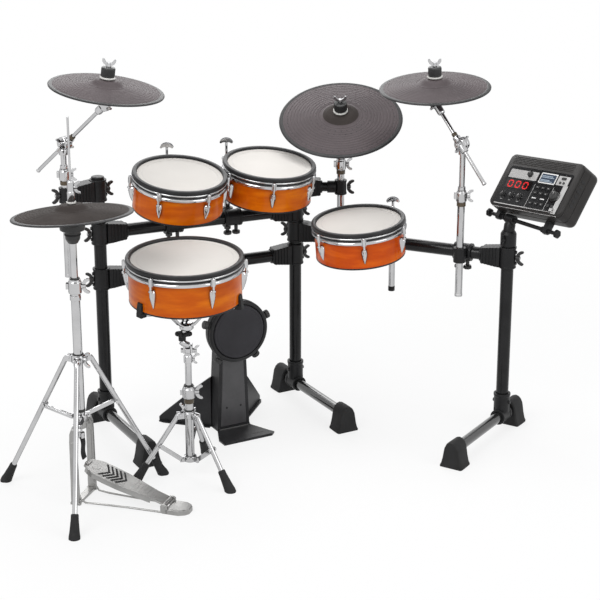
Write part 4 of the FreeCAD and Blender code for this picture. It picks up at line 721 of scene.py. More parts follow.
def boom(name):
    """Boom rod in its clamp, tilter with a wing nut, hub post and hub."""
    pivot, tip, side, clamp = boom_axes(name)
    way = (tip - clamp).normalized()
    metal = Shape()
    start = clamp - way * STANDS[name]["tail"] / 1000
    metal.stack(start, way, (0, ring(5.5, (tip - start).length * 1000), 1.2, 0, 28), (-1, ring(6.2, 7), 1, 0, 28))
    metal.stack(clamp, way, (-27, ring(11.5, 54, 5.6), 1.6, 0, 36), (30, ring(8.2, 10, 5.6), 0.8, 2, 32))
    metal.turned(clamp - side * 0.007, side, [(0, 0), (18, 0), (20, 2), (20, 11), (16, 14), (0, 14)], 0.8, 0, 56)
    metal.bar(pivot - side * 0.007, side, 4.0, 21.4, steps=28)
    wing(metal, clamp + side * 0.0066, side, 0.9)
    metal.turned(tip - side * 0.008, side, [(0, 0), (15.5, 0), (18.5, 2.4), (18.5, 13.6), (15.5, 16), (0, 16)], 0.9, 0,
                 48)
    metal.turned(tip - way * 0.040, way, [(5.6, 0), (9.5, 0), (11.5, 5), (11.5, 28), (5.6, 28)], 1.4, 0, 36)
    wing(metal, tip + side * 0.0078, side, 0.8)
    hub(metal, PADS[name])
    piece(name + "_boom", metal, [CHROME, KEY, BAND, FELT], name, edge=0.5)


def ride_tilter():
    """Fork on the stand's pivot that carries the ride pad's hub."""
    pad = PADS["ride"]
    point = at(*RIDE_TUBE, STANDS["ride"]["pivot"])
    way = at(*pad["centre"]) - lean_axis(pad) * POST_FOOT - point
    length = way.length * 1000
    metal = Shape()
    place = stance(point, way)
    for low in (8.4, -14.4):
        metal.slab([(-7.5, -7.5), (7.5, -7.5), (7.5, length + 4), (-7.5, length + 4)], low, low + 6, place @ SIDEWAYS)
    metal.box((-14.4, 14.4), (-7.5, 7.5), (15.6, max(length, 22.4) + 4), place)
    metal.bar(point - RIGHT * 0.0146, RIGHT, 4.0, 29.2, steps=28)
    wing(metal, point + RIGHT * 0.0144, RIGHT, 0.85)
    hub(metal, pad)
    piece("ride_tilter", metal, [CHROME, KEY, BAND, FELT], "ride", edge=0.5)


cymbal_stands()
boom("crash_left")
boom("crash_right")
ride_tilter()


# Tripods: axis, feet radius, leg turns, pivot and boss heights, where the brace meets the leg
TRIPODS = {
    "hihat": dict(node="hihat", axis=(-612, -445), feet=263.0, turns=(-89, 36, 156), pivot=420.0, boss=246.0,
                  share=0.37, bend=1.0),
    "snare": dict(node="snare_stand", axis=(-319, -300), feet=165.0, turns=(77, 197, 317), pivot=194.0, boss=55.0,
                  share=0.45, bend=0.55)}
TUBE = 12.5


def tripod_points(spec):
    """Pivot, foot, brace pin and boss pin of a leg, in its upright plane."""
    pivot = Vector((TUBE + 15.25, 0, spec["pivot"]))
    foot = Vector((spec["feet"], 0, 0))
    return pivot, foot, pivot + (foot - pivot) * spec["share"], Vector((TUBE + 12, 0, spec["boss"]))


def leg_frame(spec, turn):
    return stance(at(*spec["axis"], 0), UP, flat(turn))


def tripod_leg(key, spec, number, turn):
    """Tube leg that bends out of the collar, with its brace pin and a ribbed rubber foot."""
    pivot, foot, brace, _ = tripod_points(spec)
    place = leg_frame(spec, turn)
    k = spec["bend"]
    bend = ((-3, 0), (4, -0.4 * k), (9 * k + 1, -3.5 * k), (13 * k + 1, -9 * k), (17 * k + 1, -17 * k))
    path = [pivot + Vector((x, 0, z)) for x, z in bend]
    start = path[-1]
    along = (foot - start).normalized()
    length = (foot - start).length
    path += [start + along * reach for reach in (length * 0.1, length * 0.3, length * 0.6, length - 30)]
    leg = Shape()
    leg.pipe(path, 7.0, 24, place)
    leg.box((-4, 4), (-4, 4), (-5, 12), place @ stance(pivot / 1000, foot - pivot, AWAY))
    pin = place @ stance(brace / 1000, AWAY)
    leg.lathe([(0, 0), (3, 0), (3, 12.4), (5.5, 12.4), (5, 15), (0, 15)], pin, 0.6, 0, 20)
    leg.lathe([(0, -9), (5.5, -9), (6, -7), (0, -7)], pin, 0.5, 0, 20)
    sleeve = [(7, 0), (9.6, 0), (10.8, 4), (10.8, 8), (11.2, 16), (13.4, 40), (14.6, 52), (16, 60), (16, 70), (13, 76),
              (0, 78)]
    leg.lathe(sleeve, place @ stance((foot - along * 66) / 1000, along, AWAY), 1.2, 1, 84, knurl(0.9, 14, 9, 8, 52), 3)
    for p in leg.points:
        p.z = max(p.z, 0.0)
    tail = "_leg_%d" % number
    piece(key + tail, leg, [CHROME, RUBBER], key + tail, [spec["node"] + tail])


def tripod_brace(key, spec, number, turn):
    _, _, brace, boss = tripod_points(spec)
    bar = Shape()
    length = (brace - boss).length
    place = leg_frame(spec, turn) @ stance(boss / 1000, brace - boss, AWAY) @ SIDEWAYS
    ends = [(6.5 * cos(pi * i / 8), 6.5 * sin(pi * i / 8)) for i in range(9)]
    bar.slab([(x, length + 2 + y * 0.9) for x, y in ends] + [(-x, -y * 0.68) for x, y in ends], 7.5, 11.4, place)
    bar.box((-2.2, 2.2), (14, length - 12), (11.0, 12.4), place)
    tail = "_brace_%d" % number
    piece(key + tail, bar, [CHROME], key + tail, [spec["node"] + tail], edge=0.6)


def tripod_collar(key, spec):
    collar = Shape()
    axis, low, bore = spec["axis"], spec["pivot"] - 11, TUBE + 0.4
    collar.turned(at(*axis, low), UP, [(bore, 0), (TUBE + 6.4, 0), (TUBE + 6.4, 16), (TUBE + 5, 18), (TUBE + 5, 22),
                                       (bore, 22)], 1, 0, 44)
    collar.turned(at(*axis, low + 22), UP, [(bore, 0), (TUBE + 3.4, 0), (TUBE + 3, 3), (bore, 3)], 0.6, 1, 44)
    for turn in spec["turns"]:
        place = leg_frame(spec, turn)
        for y in ((-9.4, -4.4), (4.4, 9.4)):
            collar.box((TUBE + 3, TUBE + 23.7), y, (low, low + 17.6), place)
        collar.lathe([(0, -11), (4.6, -11), (4.6, 11), (0, 11)],
                     place @ stance(tripod_points(spec)[0] / 1000, AWAY), 0.8, 0, 20)
    out = flat(spec["turns"][0] + 60)
    foot = at(*axis, spec["pivot"]) + out * (TUBE + 3.4) / 1000
    collar.turned(foot, out, [(0, 0), (7, 0), (6, 6), (0, 6)], 0.8, 0, 24)
    wing(collar, foot, out, 1.0, 7)
    piece(key + "_collar", collar, [CHROME, KEY], key + "_collar", [spec["node"] + "_collar"], edge=0.7)


def tripod_boss(shape, spec):
    """Boss on the tube with a lug and a pin for each brace."""
    boss = tripod_points(spec)[3]
    shape.bar(at(*spec["axis"], boss.z - 8), UP, TUBE + 6, 16, 2, 0, 44)
    for turn in spec["turns"]:
        place = leg_frame(spec, turn)
        shape.box((TUBE, boss.x + 6), (0, 6.6), (boss.z - 8, boss.z + 8), place)
        shape.lathe([(0, 0), (3, 0), (3, 12), (5.2, 12), (4.6, 14.6), (0, 14.6)],
                    place @ stance(boss / 1000, AWAY), 0.6, 0, 20)


def height_collar(shape, axis, top, height):
    x, y = axis
    shape.turned(at(x, y, top - height / 2), UP, [(9.8, 0), (TUBE + 5, 0), (TUBE + 6, 3), (TUBE + 6, height - 8),
                                                  (TUBE + 3.4, height - 5), (TUBE + 3.4, height), (9.8, height)], 1, 0,
                 44)
    shape.turned(at(x, y, top + height / 2), UP, [(9.8, 0), (TUBE + 1.5, 0), (TUBE + 1, 4), (9.8, 4)], 0.7, 1, 44)
    shape.turned(at(x + TUBE + 4, y, top), RIGHT, [(0, 0), (7.5, 0), (6, 7), (0, 7)], 0.8, 0, 24)
    wing(shape, at(x + TUBE + 5.8, y, top), RIGHT, 0.95, 7)
    shape.box((-TUBE - 12, -TUBE - 3), (-7, 7), (-8, 8), stance(at(x, y, top), UP))


for key, spec in TRIPODS.items():
    for number, turn in enumerate(spec["turns"], 1):
        tripod_leg(key, spec, number, turn)
        tripod_brace(key, spec, number, turn)
    tripod_collar(key, spec)


# Snare stand: lower tube, upper tube with the tilter's knuckle, and the basket
BASKET_HUB = 458
GRIP_TURNS = (-137, -17, 103)


def snare_stand():
    x, y = axis = TRIPODS["snare"]["axis"]
    metal = Shape()
    base = at(x, y, 0)
    metal.stack(base, UP, (47, ring(TUBE, 215, 9.7), 0.8, 0, 44), (228, ring(TUBE + 1.8, 14, TUBE), 0.8, 2, 44))
    tripod_boss(metal, TRIPODS["snare"])
    height_collar(metal, axis, 262, 36)
    piece("snare_stand_tube", metal, [CHROME, KEY, BAND], "root", edge=0.6)
    upper = Shape()
    upper.stack(base, UP, (110, ring(9.4, 264), 1),
                (352, [(9.4, 0), (12.5, 0), (12.5, 20), (10.5, 23), (9.4, 23)], 1))
    upper.box((-7, 7), (-10, 10), (370, 389), stance(base, UP))
    upper.bar(at(x - 7, y, 389), RIGHT, 13, 14, 0.8, bore=4.2)
    wing(upper, at(x + 12, y, 362), RIGHT, 0.62, 6)
    piece("snare_upper_tube", upper, [CHROME], "snare_lift", edge=0.6)


def snare_basket():
    """Tilter fork with a ratchet nut, black tightening wheel, hub, strip arms and rubber grips."""
    axis = lean_axis(SNARE)
    head = Vector(SNARE["centre"])
    middle = head - axis * ((head.z - BASKET_HUB) / axis.z)
    pin = at(*SNARE_PIN)
    metal = Shape()
    fork = stance(pin, UP)
    for x in ((-13.4, -7.4), (7.4, 13.4)):
        metal.box(x, (-7.5, 7.5), (-8, 19), fork)
    metal.box((-13.4, 13.4), (-7.5, 7.5), (13.6, 21), fork)
    metal.turned(pin - RIGHT * 0.020, RIGHT, [(0, 0), (7, 0), (7, 6.6), (4, 6.6), (4, 33.4), (7, 33.4), (7, 38),
                                              (0, 38)], 0.6, 0, 24)
    wing(metal, pin + RIGHT * 0.017, RIGHT, 0.7, 6)
    foot = SNARE_PIN + Vector((-17, 0, 24))
    metal.pipe([(4, 0, 14), (-4, 0, 17), (-13, 0, 22), (-18, 0, 27)], 9.5, 24, Matrix.Translation(pin))
    way = (middle - foot).normalized()
    metal.bar(at(*foot), way, 7, (middle - foot).length, steps=28)
    metal.turned(at(*(middle - axis * 11)), axis, [(0, 0), (14, 0), (20, 5), (20, 18), (16, 22), (0, 22)], 1.2, 0, 44)
    wheel = at(*(foot + way * ((431 - foot.z) / way.z)))
    metal.turned(wheel, UP, [(7.2, 0), (22, 0), (24.5, 3), (24.5, 9), (22, 12), (7.2, 12)], 1.5, 1, 96,
                 lambda r, z, a: r * (0.80 + 0.20 * cos(4 * a)) if r > 10 else r)
    metal.bar(wheel - way * 0.014, UP, 10.5, 14, 1.5, 1, 32, 7.2)
    place = leaning(SNARE)
    R = SNARE_RADIUS + 7
    drop = -(head - middle).length
    for turn in GRIP_TURNS:
        side = place @ turn_z(turn)
        for y in (-6.5, 6.5):
            metal.pipe([(10, y, drop + 2), (27, y, drop + 12), (58, y, -157), (92, y * 0.9, -139),
                        (132, y * 0.75, -134), (R - 4, y * 0.6, -127.5)], 3.6, 14, side)
        metal.lathe([(0, -9), (3.2, -9), (3.2, 9), (0, 9)], side @ stance(mm(92, 0, -139), AWAY), 0.5, 0, 16)
        metal.box((R - 11, R + 9), (-11, 11), (-133, -121), side, 1)
        metal.slab([(R + 0.4, -126), (R + 10.5, -132), (R + 8.5, -110), (R + 4.6, -91), (R + 0.4, -90)], -9.5, 9.5,
                   side @ UPRIGHT, 1)
    piece("snare_basket", metal, [CHROME, RUBBER], "snare_drum", edge=1.0)


snare_stand()
snare_basket()


# Hi-hat: pedal frame, footboard, tubes, sensor cup, rod and clutch
HIHAT = TRIPODS["hihat"]["axis"]
PEDAL = stance(at(*HIHAT, 0), UP, flat(-18.4))
TOE, HEEL = Vector((12, 0, 104)), Vector((254, 0, 20))


def hihat_frame():
    metal = Shape()
    upright = mirrored([(12.5, 0), (12.5, 26), (11, 120), (10.5, 190), (9, 214), (4, 228)])
    for side in (1, -1):
        y = 55 * side
        metal.slab(upright, -y - 4.2, -y + 4.2, PEDAL @ UPRIGHT)
        metal.slab([(-5.5, 30), (5.5, 30), (5, 190), (-5, 190)], -y - 5.4, -y + 5.4, PEDAL @ UPRIGHT)
        arch = ((51, 210), (46, 222), (36, 228), (20, 231), (0, 232))
        metal.pipe([(0, y * side, z) for y, z in arch], 9.0, 20, PEDAL)
        wire = ((4, 51, 40), (14, 48, 14), (26, 44, 4), (60, 38, 3.2), (150, 32, 3.2), (256, 30, 3.2))
        metal.pipe([(x, y * side, z) for x, y, z in wire], 2.8, 14, PEDAL)
        metal.box((-15, 15), sorted((59.5 * side, 49 * side)), (0, 8), PEDAL)
    metal.box((-11, 11), (-52, 52), (0, 8), PEDAL)
    metal.turned(PEDAL @ mm(0, 0, 214), UP, [(3.2, 0), (16, 0), (17, 4), (17, 30), (14, 36), (3.2, 36)], 1.4, 0, 44)
    plate = [(261.5, -33), (300, -33), (317, -24), (325.5, -12), (325.5, 12), (317, 24), (300, 33), (261.5, 33)]
    metal.slab(plate, 0, 14, PEDAL)
    metal.slab([(x * 0.965 + 10.3, y * 0.86) for x, y in plate], 13.6, 15.4, PEDAL)
    ear = [(246.8, 4), (252, 0), (268, 0), (268, 24), (258, 27.6), (250, 27), (246.4, 22)]
    for side in (1, -1):
        metal.slab(ear, *sorted((-33 * side, -27 * side)), PEDAL @ UPRIGHT)
    metal.turned(PEDAL @ mm(254, -34.5, 20), PEDAL.to_3x3() @ AWAY, [(0, 0), (5.4, 0), (5.4, 2), (4, 2), (4, 67),
                                                                     (5.4, 67), (5.4, 69), (0, 69)], 0.5, 0, 24)
    piece("hihat_frame", metal, [STEEL], "root", edge=0.9)
    tube = Shape()
    tube.stack(at(*HIHAT, 0), UP, (219, ring(TUBE, 411, 9.7), 0.8, 0, 44),
               (262, ring(TUBE + 1.4, 8, TUBE), 0.4, 1, 44), (590, ring(TUBE + 2.6, 14, TUBE), 0.8, 0, 44))
    tripod_boss(tube, TRIPODS["hihat"])
    height_collar(tube, HIHAT, 630, 40)
    piece("hihat_tube", tube, [CHROME, KEY], "root", (), edge=0.6)


def hihat_footboard():
    """Satin footboard with edge flanges, cross ribs and black chevrons, bare at the toe."""
    along = TOE - HEEL
    length = along.length
    place = PEDAL @ stance(HEEL / 1000, AWAY.cross(along), along)
    board = Shape()
    widths = ((0.16, 26.2), (0.36, 34), (0.55, 40.5), (0.72, 42), (0.86, 40.5), (0.93, 33), (0.97, 26), (1, 22))
    edge = [(-6, -26.2)] + [(length * share, -half) for share, half in widths]
    board.slab(edge + [(x, -y) for x, y in edge[::-1]], 1.2, 6.2, place)
    for (x, y), (u, w) in zip(edge[1:-2], edge[2:-1]):
        board.slab([(x, y), (u, w), (u, w + 3), (x, y + 3)], -10, 2.5, place)
        board.slab([(x, -y), (x, -y - 3), (u, -w - 3), (u, -w)], -10, 2.5, place)
    board.bar(place @ mm(0, -26.2, 0), place.to_3x3() @ AWAY, 7, 52.4, 0.8, 0, 32, 4.2)
    for k in range(7):
        x, w = length * 0.14 + k * 11.5, 22.5 + 2.2 * k
        board.box((x - 1.2, x + 1.2), (-w, w), (6.0, 6.9), place)
    for k in range(5):
        x, w = length * 0.50 + k * 13.5, 33.0
        stripe = [(x, 0), (x + 6.5, 0), (x + 26.5, w), (x + 20, w)]
        board.slab(stripe, 6.0, 7.2, place, 1)
        board.slab([(u, -v) for u, v in stripe[::-1]], 6.0, 7.2, place, 1)
    turns = [2 * pi * i / 32 for i in range(32)]
    board.slab([(length * 0.885 + 13 * cos(a), 17 * sin(a)) for a in turns], 6.0, 6.9, place)
    board.box((length - 10, length + 2), (-13, 13), (0.6, 9.4), place)
    piece("hihat_footboard", board, [STEEL, RUBBER], "hihat_pedal", edge=0.5)


def hihat_top():
    tube = Shape()
    base = at(*HIHAT, 0)
    cup = [(6.6, 0), (13, 0), (16, 5), (20, 12), (21.5, 30), (21.5, 34), (34, 38), (34.6, 42), (34.6, 54), (33, 57),
           (26, 60), (26, 70), (6.6, 72)]
    tube.stack(base, UP, (500, ring(9.4, 262, 6.6), 0.8), (752, cup, 1.2, 1, 64),
               (774, [(20.8, 0), (22.4, 1), (22.4, 5), (21, 6)], 0.3, 2, 64))
    piece("hihat_upper_tube", tube, [CHROME, KEY, RUBBER], "hihat_lift", edge=0.5)
    rod = Shape()
    clutch = [(3, 0), (10.5, 0), (10.5, 26), (9, 28), (9, 54), (7, 57), (3, 57)]
    rod.stack(base, UP, (182, [(0, 0), (9, 0), (9, 16), (3, 18), (3, 916), (2, 918), (0, 918)], 0.6, 0, 28),
              (844.6, [(3, 0), (12, 0), (12, 7), (6, 7), (6, 18.8), (3, 18.8)], 1, 3, 32),
              (863.4, ring(13, 5, 3), 1.2, 3, 32), (868.4, clutch, 0.8, 0, 88, knurl(0.5, 22, 8.6, 8, 24)))
    wing(rod, at(HIHAT[0] + 8.6, HIHAT[1], 907), RIGHT, 0.8, 6)
    strap = [(2.4 * sin(pi * k / 4) + 0.75 * k, 186 - 8.3125 * k) for k in range(9)]
    for (x, z), (u, w) in zip(strap, strap[1:]):
        rod.slab([(x - 2, z), (u - 2, w), (u + 2, w), (x + 2, z)], -11, 11, PEDAL @ UPRIGHT, 1)
    piece("hihat_rod", rod, [CHROME, RUBBER, KEY, FELT], "hihat_pull", edge=0.4)


hihat_frame()
hihat_footboard()
hihat_top()


# Kick tower: tapered channel, floor plate, splayed legs, round housing and pad
KICK = stance(at(-206, 47, 0), UP, flat(29))
KICK_PAD = 333
RIM_KNOBS = 5


def kick():
    tower = Shape()
    walls = [p for x, u, y, v in ((55, 42, 0, 0), (55, 42, 60, 50), (51, 38, 4, 4), (51, 38, 60, 50))
             for p in ((-x, y, 5), (x, y, 5), (u, v, 330), (-u, v, 330))]
    faces = [[0, 1, 2, 3], [1, 5, 6, 2], [4, 0, 3, 7], [8, 11, 10, 9], [9, 10, 14, 13], [8, 12, 15, 11],
             [5, 13, 14, 6], [4, 7, 15, 12], [0, 8, 9, 1], [1, 9, 13, 5], [0, 4, 12, 8], [3, 2, 10, 11],
             [2, 6, 14, 10], [3, 11, 15, 7]]
    tower.add(walls, faces, KICK)
    plate = ((-1, 0.4), (-0.96, -2.4), (0.96, -2.4), (1, 0.4))
    tower.loft([[(x * k, y, z) for x, y in plate] for z, k in ((14, 44.0), (232, 36.0))], KICK, 2)
    tower.slab([(-86, -109), (78, -109), (94, -92), (84, -74), (56, -8), (56, 60), (-56, 60), (-56, 0), (-86, -70)], 0,
               5, KICK)
    tower.slab([(-82, -108), (76, -108), (82, -101), (-82, -101)], 4.6, 8.0, KICK)
    tower.slab([(30, -78), (62, -78), (65, -74), (62, -70), (30, -70), (27, -74)], 4.6, 5.6, KICK, 1)
    tower.box((-53, 53), (-6, 2), (4.6, 12), KICK)
    tower.box((-52, 52), (-7.0, -5.4), (5.2, 7.4), KICK, 3)
    out = KICK.to_3x3() @ -AWAY
    for x in (-24, 24):
        tower.turned(KICK @ mm(x, -2.2, 74), out, [(1.6, 0), (3.6, 0), (3.4, 0.8), (1.6, 0.8)], 0.2, 1, 20)
        tower.bar(KICK @ mm(x, -2.3, 74), out, 1.7, 0.35, 0, 1, 16)
    for side, turn in ((1, 45), (-1, 135)):
        place = KICK @ stance(mm(47 * side, 44, 0), UP, flat(turn))
        tower.slab([(6, 0), (172, 0), (178, 6), (178, 16), (170, 24), (60, 122), (14, 160), (6, 165)], -8, 8,
                   place @ UPRIGHT)
        tower.slab([(8, -18), (160, -18), (178, -12), (178, 12), (160, 18), (8, 18)], 0, 4, place)
    piece("kick_tower", tower, [TOWER, RIM, FRONT, STEEL], "root", edge=1.2)
    centre = KICK @ mm(0, 0, KICK_PAD)
    rim = Shape()
    section = [(0, 0.3), (86, 0.3), (93, 4), (95, 12), (95, 20), (98, 24), (98, 31), (95.6, 33), (95.6, 36), (98, 38),
               (97, 43.5), (91.5, 46.4), (87, 45.6), (85.1, 43), (84.8, 33), (0, 33)]
    rim.turned(centre, out, section, 1.0, 0, 128, corner=3)
    grip = [(0, 0), (10.5, 0), (10.5, 7), (8.5, 8), (8.5, 9), (13, 10), (13, 20), (11, 21.5), (0, 21.5)]
    for i in range(RIM_KNOBS):
        turn = Matrix.Rotation(radians(360 / RIM_KNOBS * i), 4, "Y")
        place = KICK @ shift(0, 0, KICK_PAD) @ turn @ stance(mm(0, -26, 94), UP)
        rim.lathe(grip, place, 0.9, 1, 72, knurl(0.7, 18, 12))
        rim.box((-9, 9), (-12, 12), (0, 6), place, 1)
    piece("kick_rim", rim, [RIM, KEY], "root", edge=0.8)
    pad = Shape()
    pad.turned(centre + out * 0.0332, out, [(0, 0), (84.5, 0), (84.5, 10), (82, 13.6), (77, 14.4), (76, 13.8),
                                            (74.6, 13.8), (73.6, 14.6), (40, 15.2), (0, 15.4)], 0.8, 0, 128, corner=3)
    piece("kick_pad", pad, [KICK_FACE], "root", angle=40)


kick()


# Sound module: housing, panel, controls and the bracket on the right post
ROD = flat(-53.2)
HINGE = at(627, 36, 679)
FACING = UP * cos(radians(51.4)) + flat(-147.4) * sin(radians(51.4))
TILT = stance((0, 0, 0), FACING, ROD + UP * tan(radians(5.2)))
MODULE = Matrix.Translation(HINGE - TILT @ mm(-80, -104, -50)) @ TILT
PANEL = MODULE @ shift(3, -18, 0)
MODULE_SIZE = (300, 175)
KEY_SIZE = (13.8, 7.8, 1.6, 4)


def round_rect(width, length, radius, steps=7, centre=(0, 0), scale=(1, 1)):
    """Outline of a rounded rectangle."""
    out = []
    for x, y, start in ((1, 1, 0), (-1, 1, 90), (-1, -1, 180), (1, -1, 270)):
        for i in range(steps + 1):
            turn = flat(start + 90 * i / steps) * radius
            out.append((centre[0] + (x * (width / 2 - radius) + turn.x) * scale[0],
                        centre[1] + (y * (length / 2 - radius) + turn.y) * scale[1]))
    return out


def tile(shape, centre, size, low, high, mark, radius=1.0):
    """Rounded flat tile on the panel."""
    shape.slab(round_rect(*size, radius, 4, centre), low, high, PANEL, mark)


def module_housing():
    body = Shape()
    levels = ((10, -80), (4, -79), (1, -74), (0, -68), (0, -44), (1.6, -43), (1.6, -41), (0, -40), (0, -13),
              (1.8, -12), (1.8, -9.5), (0.4, -8.5), (0.8, -4.5), (2.4, -1.4), (5.0, 0))
    width, length = MODULE_SIZE
    body.loft([[(x, y, z) for x, y in round_rect(width - 2 * inset, length - 2 * inset, 19 - min(inset, 9))]
               for inset, z in levels], MODULE)
    for k in range(5):
        body.slab(round_rect(250, 1.6, 0.7, 2, (-6, 56 + 5.2 * k)), -0.4, 0.7, MODULE)
    side = MODULE @ stance(mm(150, 0, -26), RIGHT, AWAY)
    for k in range(6):
        body.slab(round_rect(9, 16, 2, 3, (40 - 16 * k, 0)), -0.5, 0.8, side, 1)
    rear = MODULE @ stance(mm(0, 87.5, -40), AWAY)
    body.slab(round_rect(236, 36, 4, 4), -0.5, 0.6, rear, 1)
    for k in range(9):
        jack = rear @ shift(-96 + 24 * k, 6 if k % 2 else -6, 0)
        body.lathe([(3.2, 0), (6.4, 0), (6.0, 2.4), (3.4, 2.4), (3.2, 0.8)], jack, 0.3, 2, 28, corner=2)
        body.lathe([(0, 0.5), (3.3, 0.5), (3.3, 0.9), (0, 0.9)], jack, 0, 1, 20)
    for s in (-48, 150):
        x, y, z = MODULE.inverted() @ (HINGE + ROD * s / 1000) * 1000
        lug = [(y - 11, z - 5), (y - 5, z - 11), (-84, z - 11), (-84, z + 11), (y - 5, z + 11), (y - 11, z + 5)]
        body.slab(lug, x - 8, x + 8, MODULE @ SIDEWAYS, 1)
    low = MODULE @ stance(mm(0, -87.2, -6), -AWAY)
    body.slab(round_rect(266, 3.2, 1.2, 3), 0, 1.4, low, 2)
    piece("module_housing", body, [CASE, RIM, TRIM], "module", edge=0.5)


def lit_ring(shape, x, y, mark):
    """Lit ring of a display place: six bars of a segment display."""
    w, h, t = 17.0, 20.0, 3.4
    tall = (t, h / 2 - t * 0.7)
    for cx, cy, size in ((0, h / 2, (w - t, t)), (0, -h / 2, (w - t, t)), (-w / 2, h / 4, tall), (w / 2, h / 4, tall),
                         (-w / 2, -h / 4, tall), (w / 2, -h / 4, tall)):
        tile(shape, (x + cx, y + cy), size, 2.5, 3.0, mark, 1.2)


def small_knob(shape, x, y, radius, height, mark, pointer):
    spot = PANEL @ shift(x, y, 0)
    top = height + 1.6
    shape.lathe([(0, 2.2), (radius, 2.2), (radius, 3.5), (radius * 0.9, 4.4), (radius * 0.84, height),
                 (radius * 0.7, top), (0, top)], spot, 0.5, mark, 80, knurl(0.45, 20, radius * 0.8, 2.4), 2)
    shape.box((-0.7, 0.7), (radius * 0.2, radius * 0.8), (height + 1.2, height + 1.9), spot, pointer)


def module_panel():
    """Panel with grey fields, display, lit digits, knobs and keys; tiles are centre, size, heights, mark, corner."""
    face = Shape()
    fields = [((0, 0), (258, 128), 0, 1.6, 0, 5), ((-63, 40), (116, 28), 1.4, 2.0, 1, 1.5),
              ((100, 40), (46, 30), 1.4, 2.0, 1, 1.5), ((119, -20), (18, 92), 1.4, 2.0, 1, 1.5),
              ((108, -54), (18, 10), 1.4, 2.0, 1, 1.5), ((39, 40), (66, 34), 1.4, 2.6, 2, 2),
              ((39, 40), (59, 27), 2.4, 2.9, 3, 1.2)]
    fields += [((12 + w / 2, y), (w, 1.8), 2.8, 3.1, 4, 0.5) for w, y in ((44, 47), (50, 42.5), (36, 34), (48, 30))]
    fields.append(((-65, 6), (106, 28), 1.4, 2.6, 5, 2))
    for field in fields:
        tile(face, *field)
    for x in (-97, -66, -35):
        lit_ring(face, x, 6, 6)
    for x in (-106, -72, -38):
        small_knob(face, x, -32, 8, 8.6, 7, 2)
        tile(face, (x, -47), (10, 1.4), 1.4, 1.9, 1, 0.5)
        for k in range(7):
            a = radians(-140 + 280 / 6 * k)
            tile(face, (x + 11.5 * sin(a), -32 + 11.5 * cos(a)), (1.3, 1.3), 1.4, 1.9, 1, 0.5)
    for row, *form in (((0, 77), -22, (1.3, 78), 1.4, 1.9, 1, 0.5), ((20, 54), -27, (17, 3.4), 1.4, 2.2, 2, 1.2),
                       ((100,), 47, (18, 8), 1.8, 3.6, 7, 2.5), ((92, 106), 33, (8, 7), 1.8, 3.4, 7, 1.5),
                       ((88, 104), -44, (9, 9), 1.4, 3.4, 7, 2.5), ((-3,), -62.2, (248, 2.6), 1.4, 2.6, 8, 0.8)):
        for x in row:
            tile(face, (x, form[0]), *form[1:])
    face.lathe([(17.4, 1.5), (20.4, 1.5), (20.0, 2.1), (17.8, 2.1)], PANEL @ shift(96, -12, 0), 0, 5, 56)
    piece("module_panel", face, [FACE, GREY, WHITE, SCREEN, SCREEN_LINE, GLASS, RED, KEY, TRIM], "module")
    for name, spec in (("module_dial", (96, -12, 16, 11.4)), ("module_volume", (-36, 44, 9.5, 9.4))):
        control = Shape()
        small_knob(control, *spec, 0, 1)
        piece(name, control, [KEY, GREY], name)
    keys = Shape()
    for x in (16, 38, 60):
        for y in (8, -10, -44):
            base, top = round_rect(*KEY_SIZE, (x, y)), round_rect(*KEY_SIZE, (x, y), (0.9, 0.86))
            keys.loft([[(u, v, z) for u, v in row] for row, z in ((base, -2.0), (base, 3.0), (top, 3.9))], PANEL)
            keys.slab(round_rect(5.0, 1.2, 0.5, 2, (x, y)), 3.8, 4.1, PANEL, 1)
    piece("module_buttons", keys, [KEY, GREY], "module_buttons")


def module_bracket():
    metal = Shape()
    post = POSTS["right"]
    metal.turned(at(*post, 600), UP, [(19.3, 0), (24, 0), (24, 36), (22, 40), (19, 45), (0, 45), (0, 41), (19.3, 41)],
                 1.0, 0, 48)
    start = at(*post, 642)
    length = (HINGE - start).length * 1000
    metal.turned(start, HINGE - start, [(0, 0), (17, 0), (17, 22), (12.5, 29), (12.5, length), (0, length)])
    metal.stack(HINGE, ROD, (-70, ring(6, 242), 0.6, 0, 28),
                (-17, [(6, 0), (13, 0), (13.6, 2), (13.6, 32), (13, 34), (6, 34)], 0.8, 0, 36),
                (-30, ring(9, 6, 6), 0.6, 0, 28), (132, ring(9, 6, 6), 0.6, 0, 28))
    knob(metal, HINGE - ROD * 0.070, -ROD, 6)
    knob(metal, HINGE + ROD * 0.172, ROD, 6)
    wing(metal, at(*post, 622) + flat(-125) * 0.0236, flat(-125), 0.75, 7)
    piece("module_bracket", metal, [CASTING], "root", edge=0.6)


module_housing()
module_panel()
module_bracket()


# Floor, light and camera
FLOOR_PLACE = (0, 4, -0.0004)
PHOTO_WIDTH, FOCAL, SENSOR = 600, 1715.0, 36.0
LAMPS = {"key": ((-2.2, -2.6, 3.6), (-0.1, 0.1, 0.6), (2.4, 2.0), 92),
         "fill": ((3.2, -2.4, 2.2), (0.2, 0.1, 0.6), (2.0, 2.4), 42),
         "top": ((0.2, 0.6, 3.8), (0.0, 0.2, 0.4), (3.2, 2.0), 60),
         "rear": ((-0.6, 3.4, 2.4), (0.0, 0.2, 0.7), (3.0, 1.4), 40)}


def sees_white(tree):
    """1 for rays from the camera, from gloss and through glass, which all meet the white background."""
    paths = tree.nodes.new("ShaderNodeLightPath").outputs
    metal = wire(tree, "Math", {0: paths["Is Camera Ray"], 1: paths["Is Glossy Ray"]}, "MAXIMUM")
    return wire(tree, "Math", {0: metal, 1: paths["Is Transmission Ray"]}, "MAXIMUM")


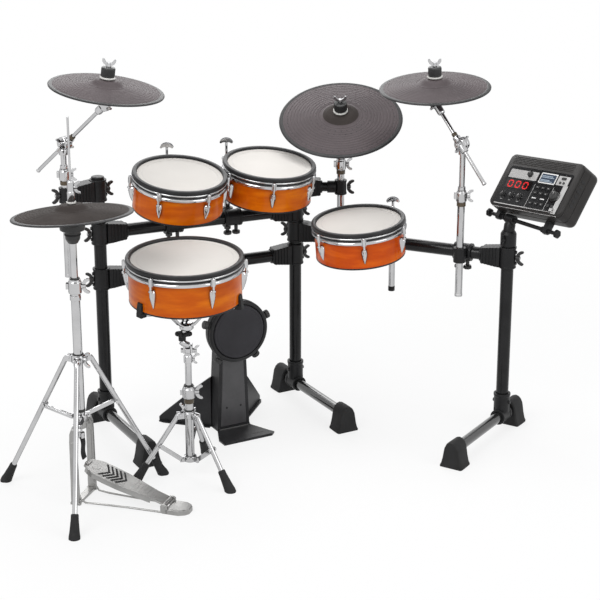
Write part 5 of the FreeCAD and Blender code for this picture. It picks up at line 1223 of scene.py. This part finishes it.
def backdrop():
    mat, tree, shader = material("pale_floor")
    put(shader, {"Base Color": (0.84, 0.84, 0.84, 1.0), "Specular IOR Level": 0.2,
                 "Roughness": spread(tree, noise(tree, 3.0), 0.75, 0.85)})
    source = wire(tree, "TexCoord", {}, out="Object")
    middle = wire(tree, "Mapping", {"Location": (0.0, 4.0, 0.0), "Vector": source})
    away = wire(tree, "VectorMath", {0: middle}, "LENGTH", "Value")
    fade = wire(tree, "MapRange", {"From Min": 1.1, "From Max": 2.6, "To Min": 0.80, "To Max": 1.0, "Value": away})
    share = wire(tree, "Math", {0: sees_white(tree), 1: fade}, "MULTIPLY")
    glow = wire(tree, "Emission", {"Color": (1.0, 1.0, 1.0, 1.0)})
    mix = wire(tree, "MixShader", {"Fac": share, 1: shader.outputs["BSDF"], 2: glow})
    put(tree.nodes["Material Output"], {"Surface": mix})
    bpy.ops.mesh.primitive_plane_add(size=40, location=FLOOR_PLACE)
    floor = bpy.context.object
    floor.name = "floor"
    floor.data.materials.append(mat)


def sky():
    world = bpy.data.worlds.new("studio")
    bpy.context.scene.world = world
    world.use_nodes = True
    tree = world.node_tree
    ground = tree.nodes["Background"]
    put(ground, {"Color": (0.46, 0.465, 0.47, 1.0), "Strength": 1.0})
    white = wire(tree, "Background", {"Color": (1.0, 1.0, 1.0, 1.0)})
    mix = wire(tree, "MixShader", {"Fac": sees_white(tree), 1: ground.outputs["Background"], 2: white})
    put(tree.nodes["World Output"], {"Surface": mix})


def stand(name, data, place, aim):
    """Lamp or camera at a place, looking at a point."""
    obj = bpy.data.objects.new(name, data)
    bpy.context.collection.objects.link(obj)
    obj.location = place
    obj.rotation_euler = (Vector(aim) - Vector(place)).to_track_quat("-Z", "Y").to_euler()
    return obj


def studio():
    for name, (place, aim, size, power) in LAMPS.items():
        data = bpy.data.lights.new(name, "AREA")
        data.shape = "RECTANGLE"
        data.size, data.size_y = size
        data.energy = power
        stand(name, data, place, aim)
    data = bpy.data.cameras.new("camera")
    data.sensor_width = SENSOR
    data.lens = FOCAL / PHOTO_WIDTH * SENSOR
    bpy.context.scene.camera = stand("camera", data, at(0, -4869.6, 2104.4), at(0, 50, 420))


backdrop()
sky()
studio()
bpy.context.scene.view_settings.view_transform = "Standard"
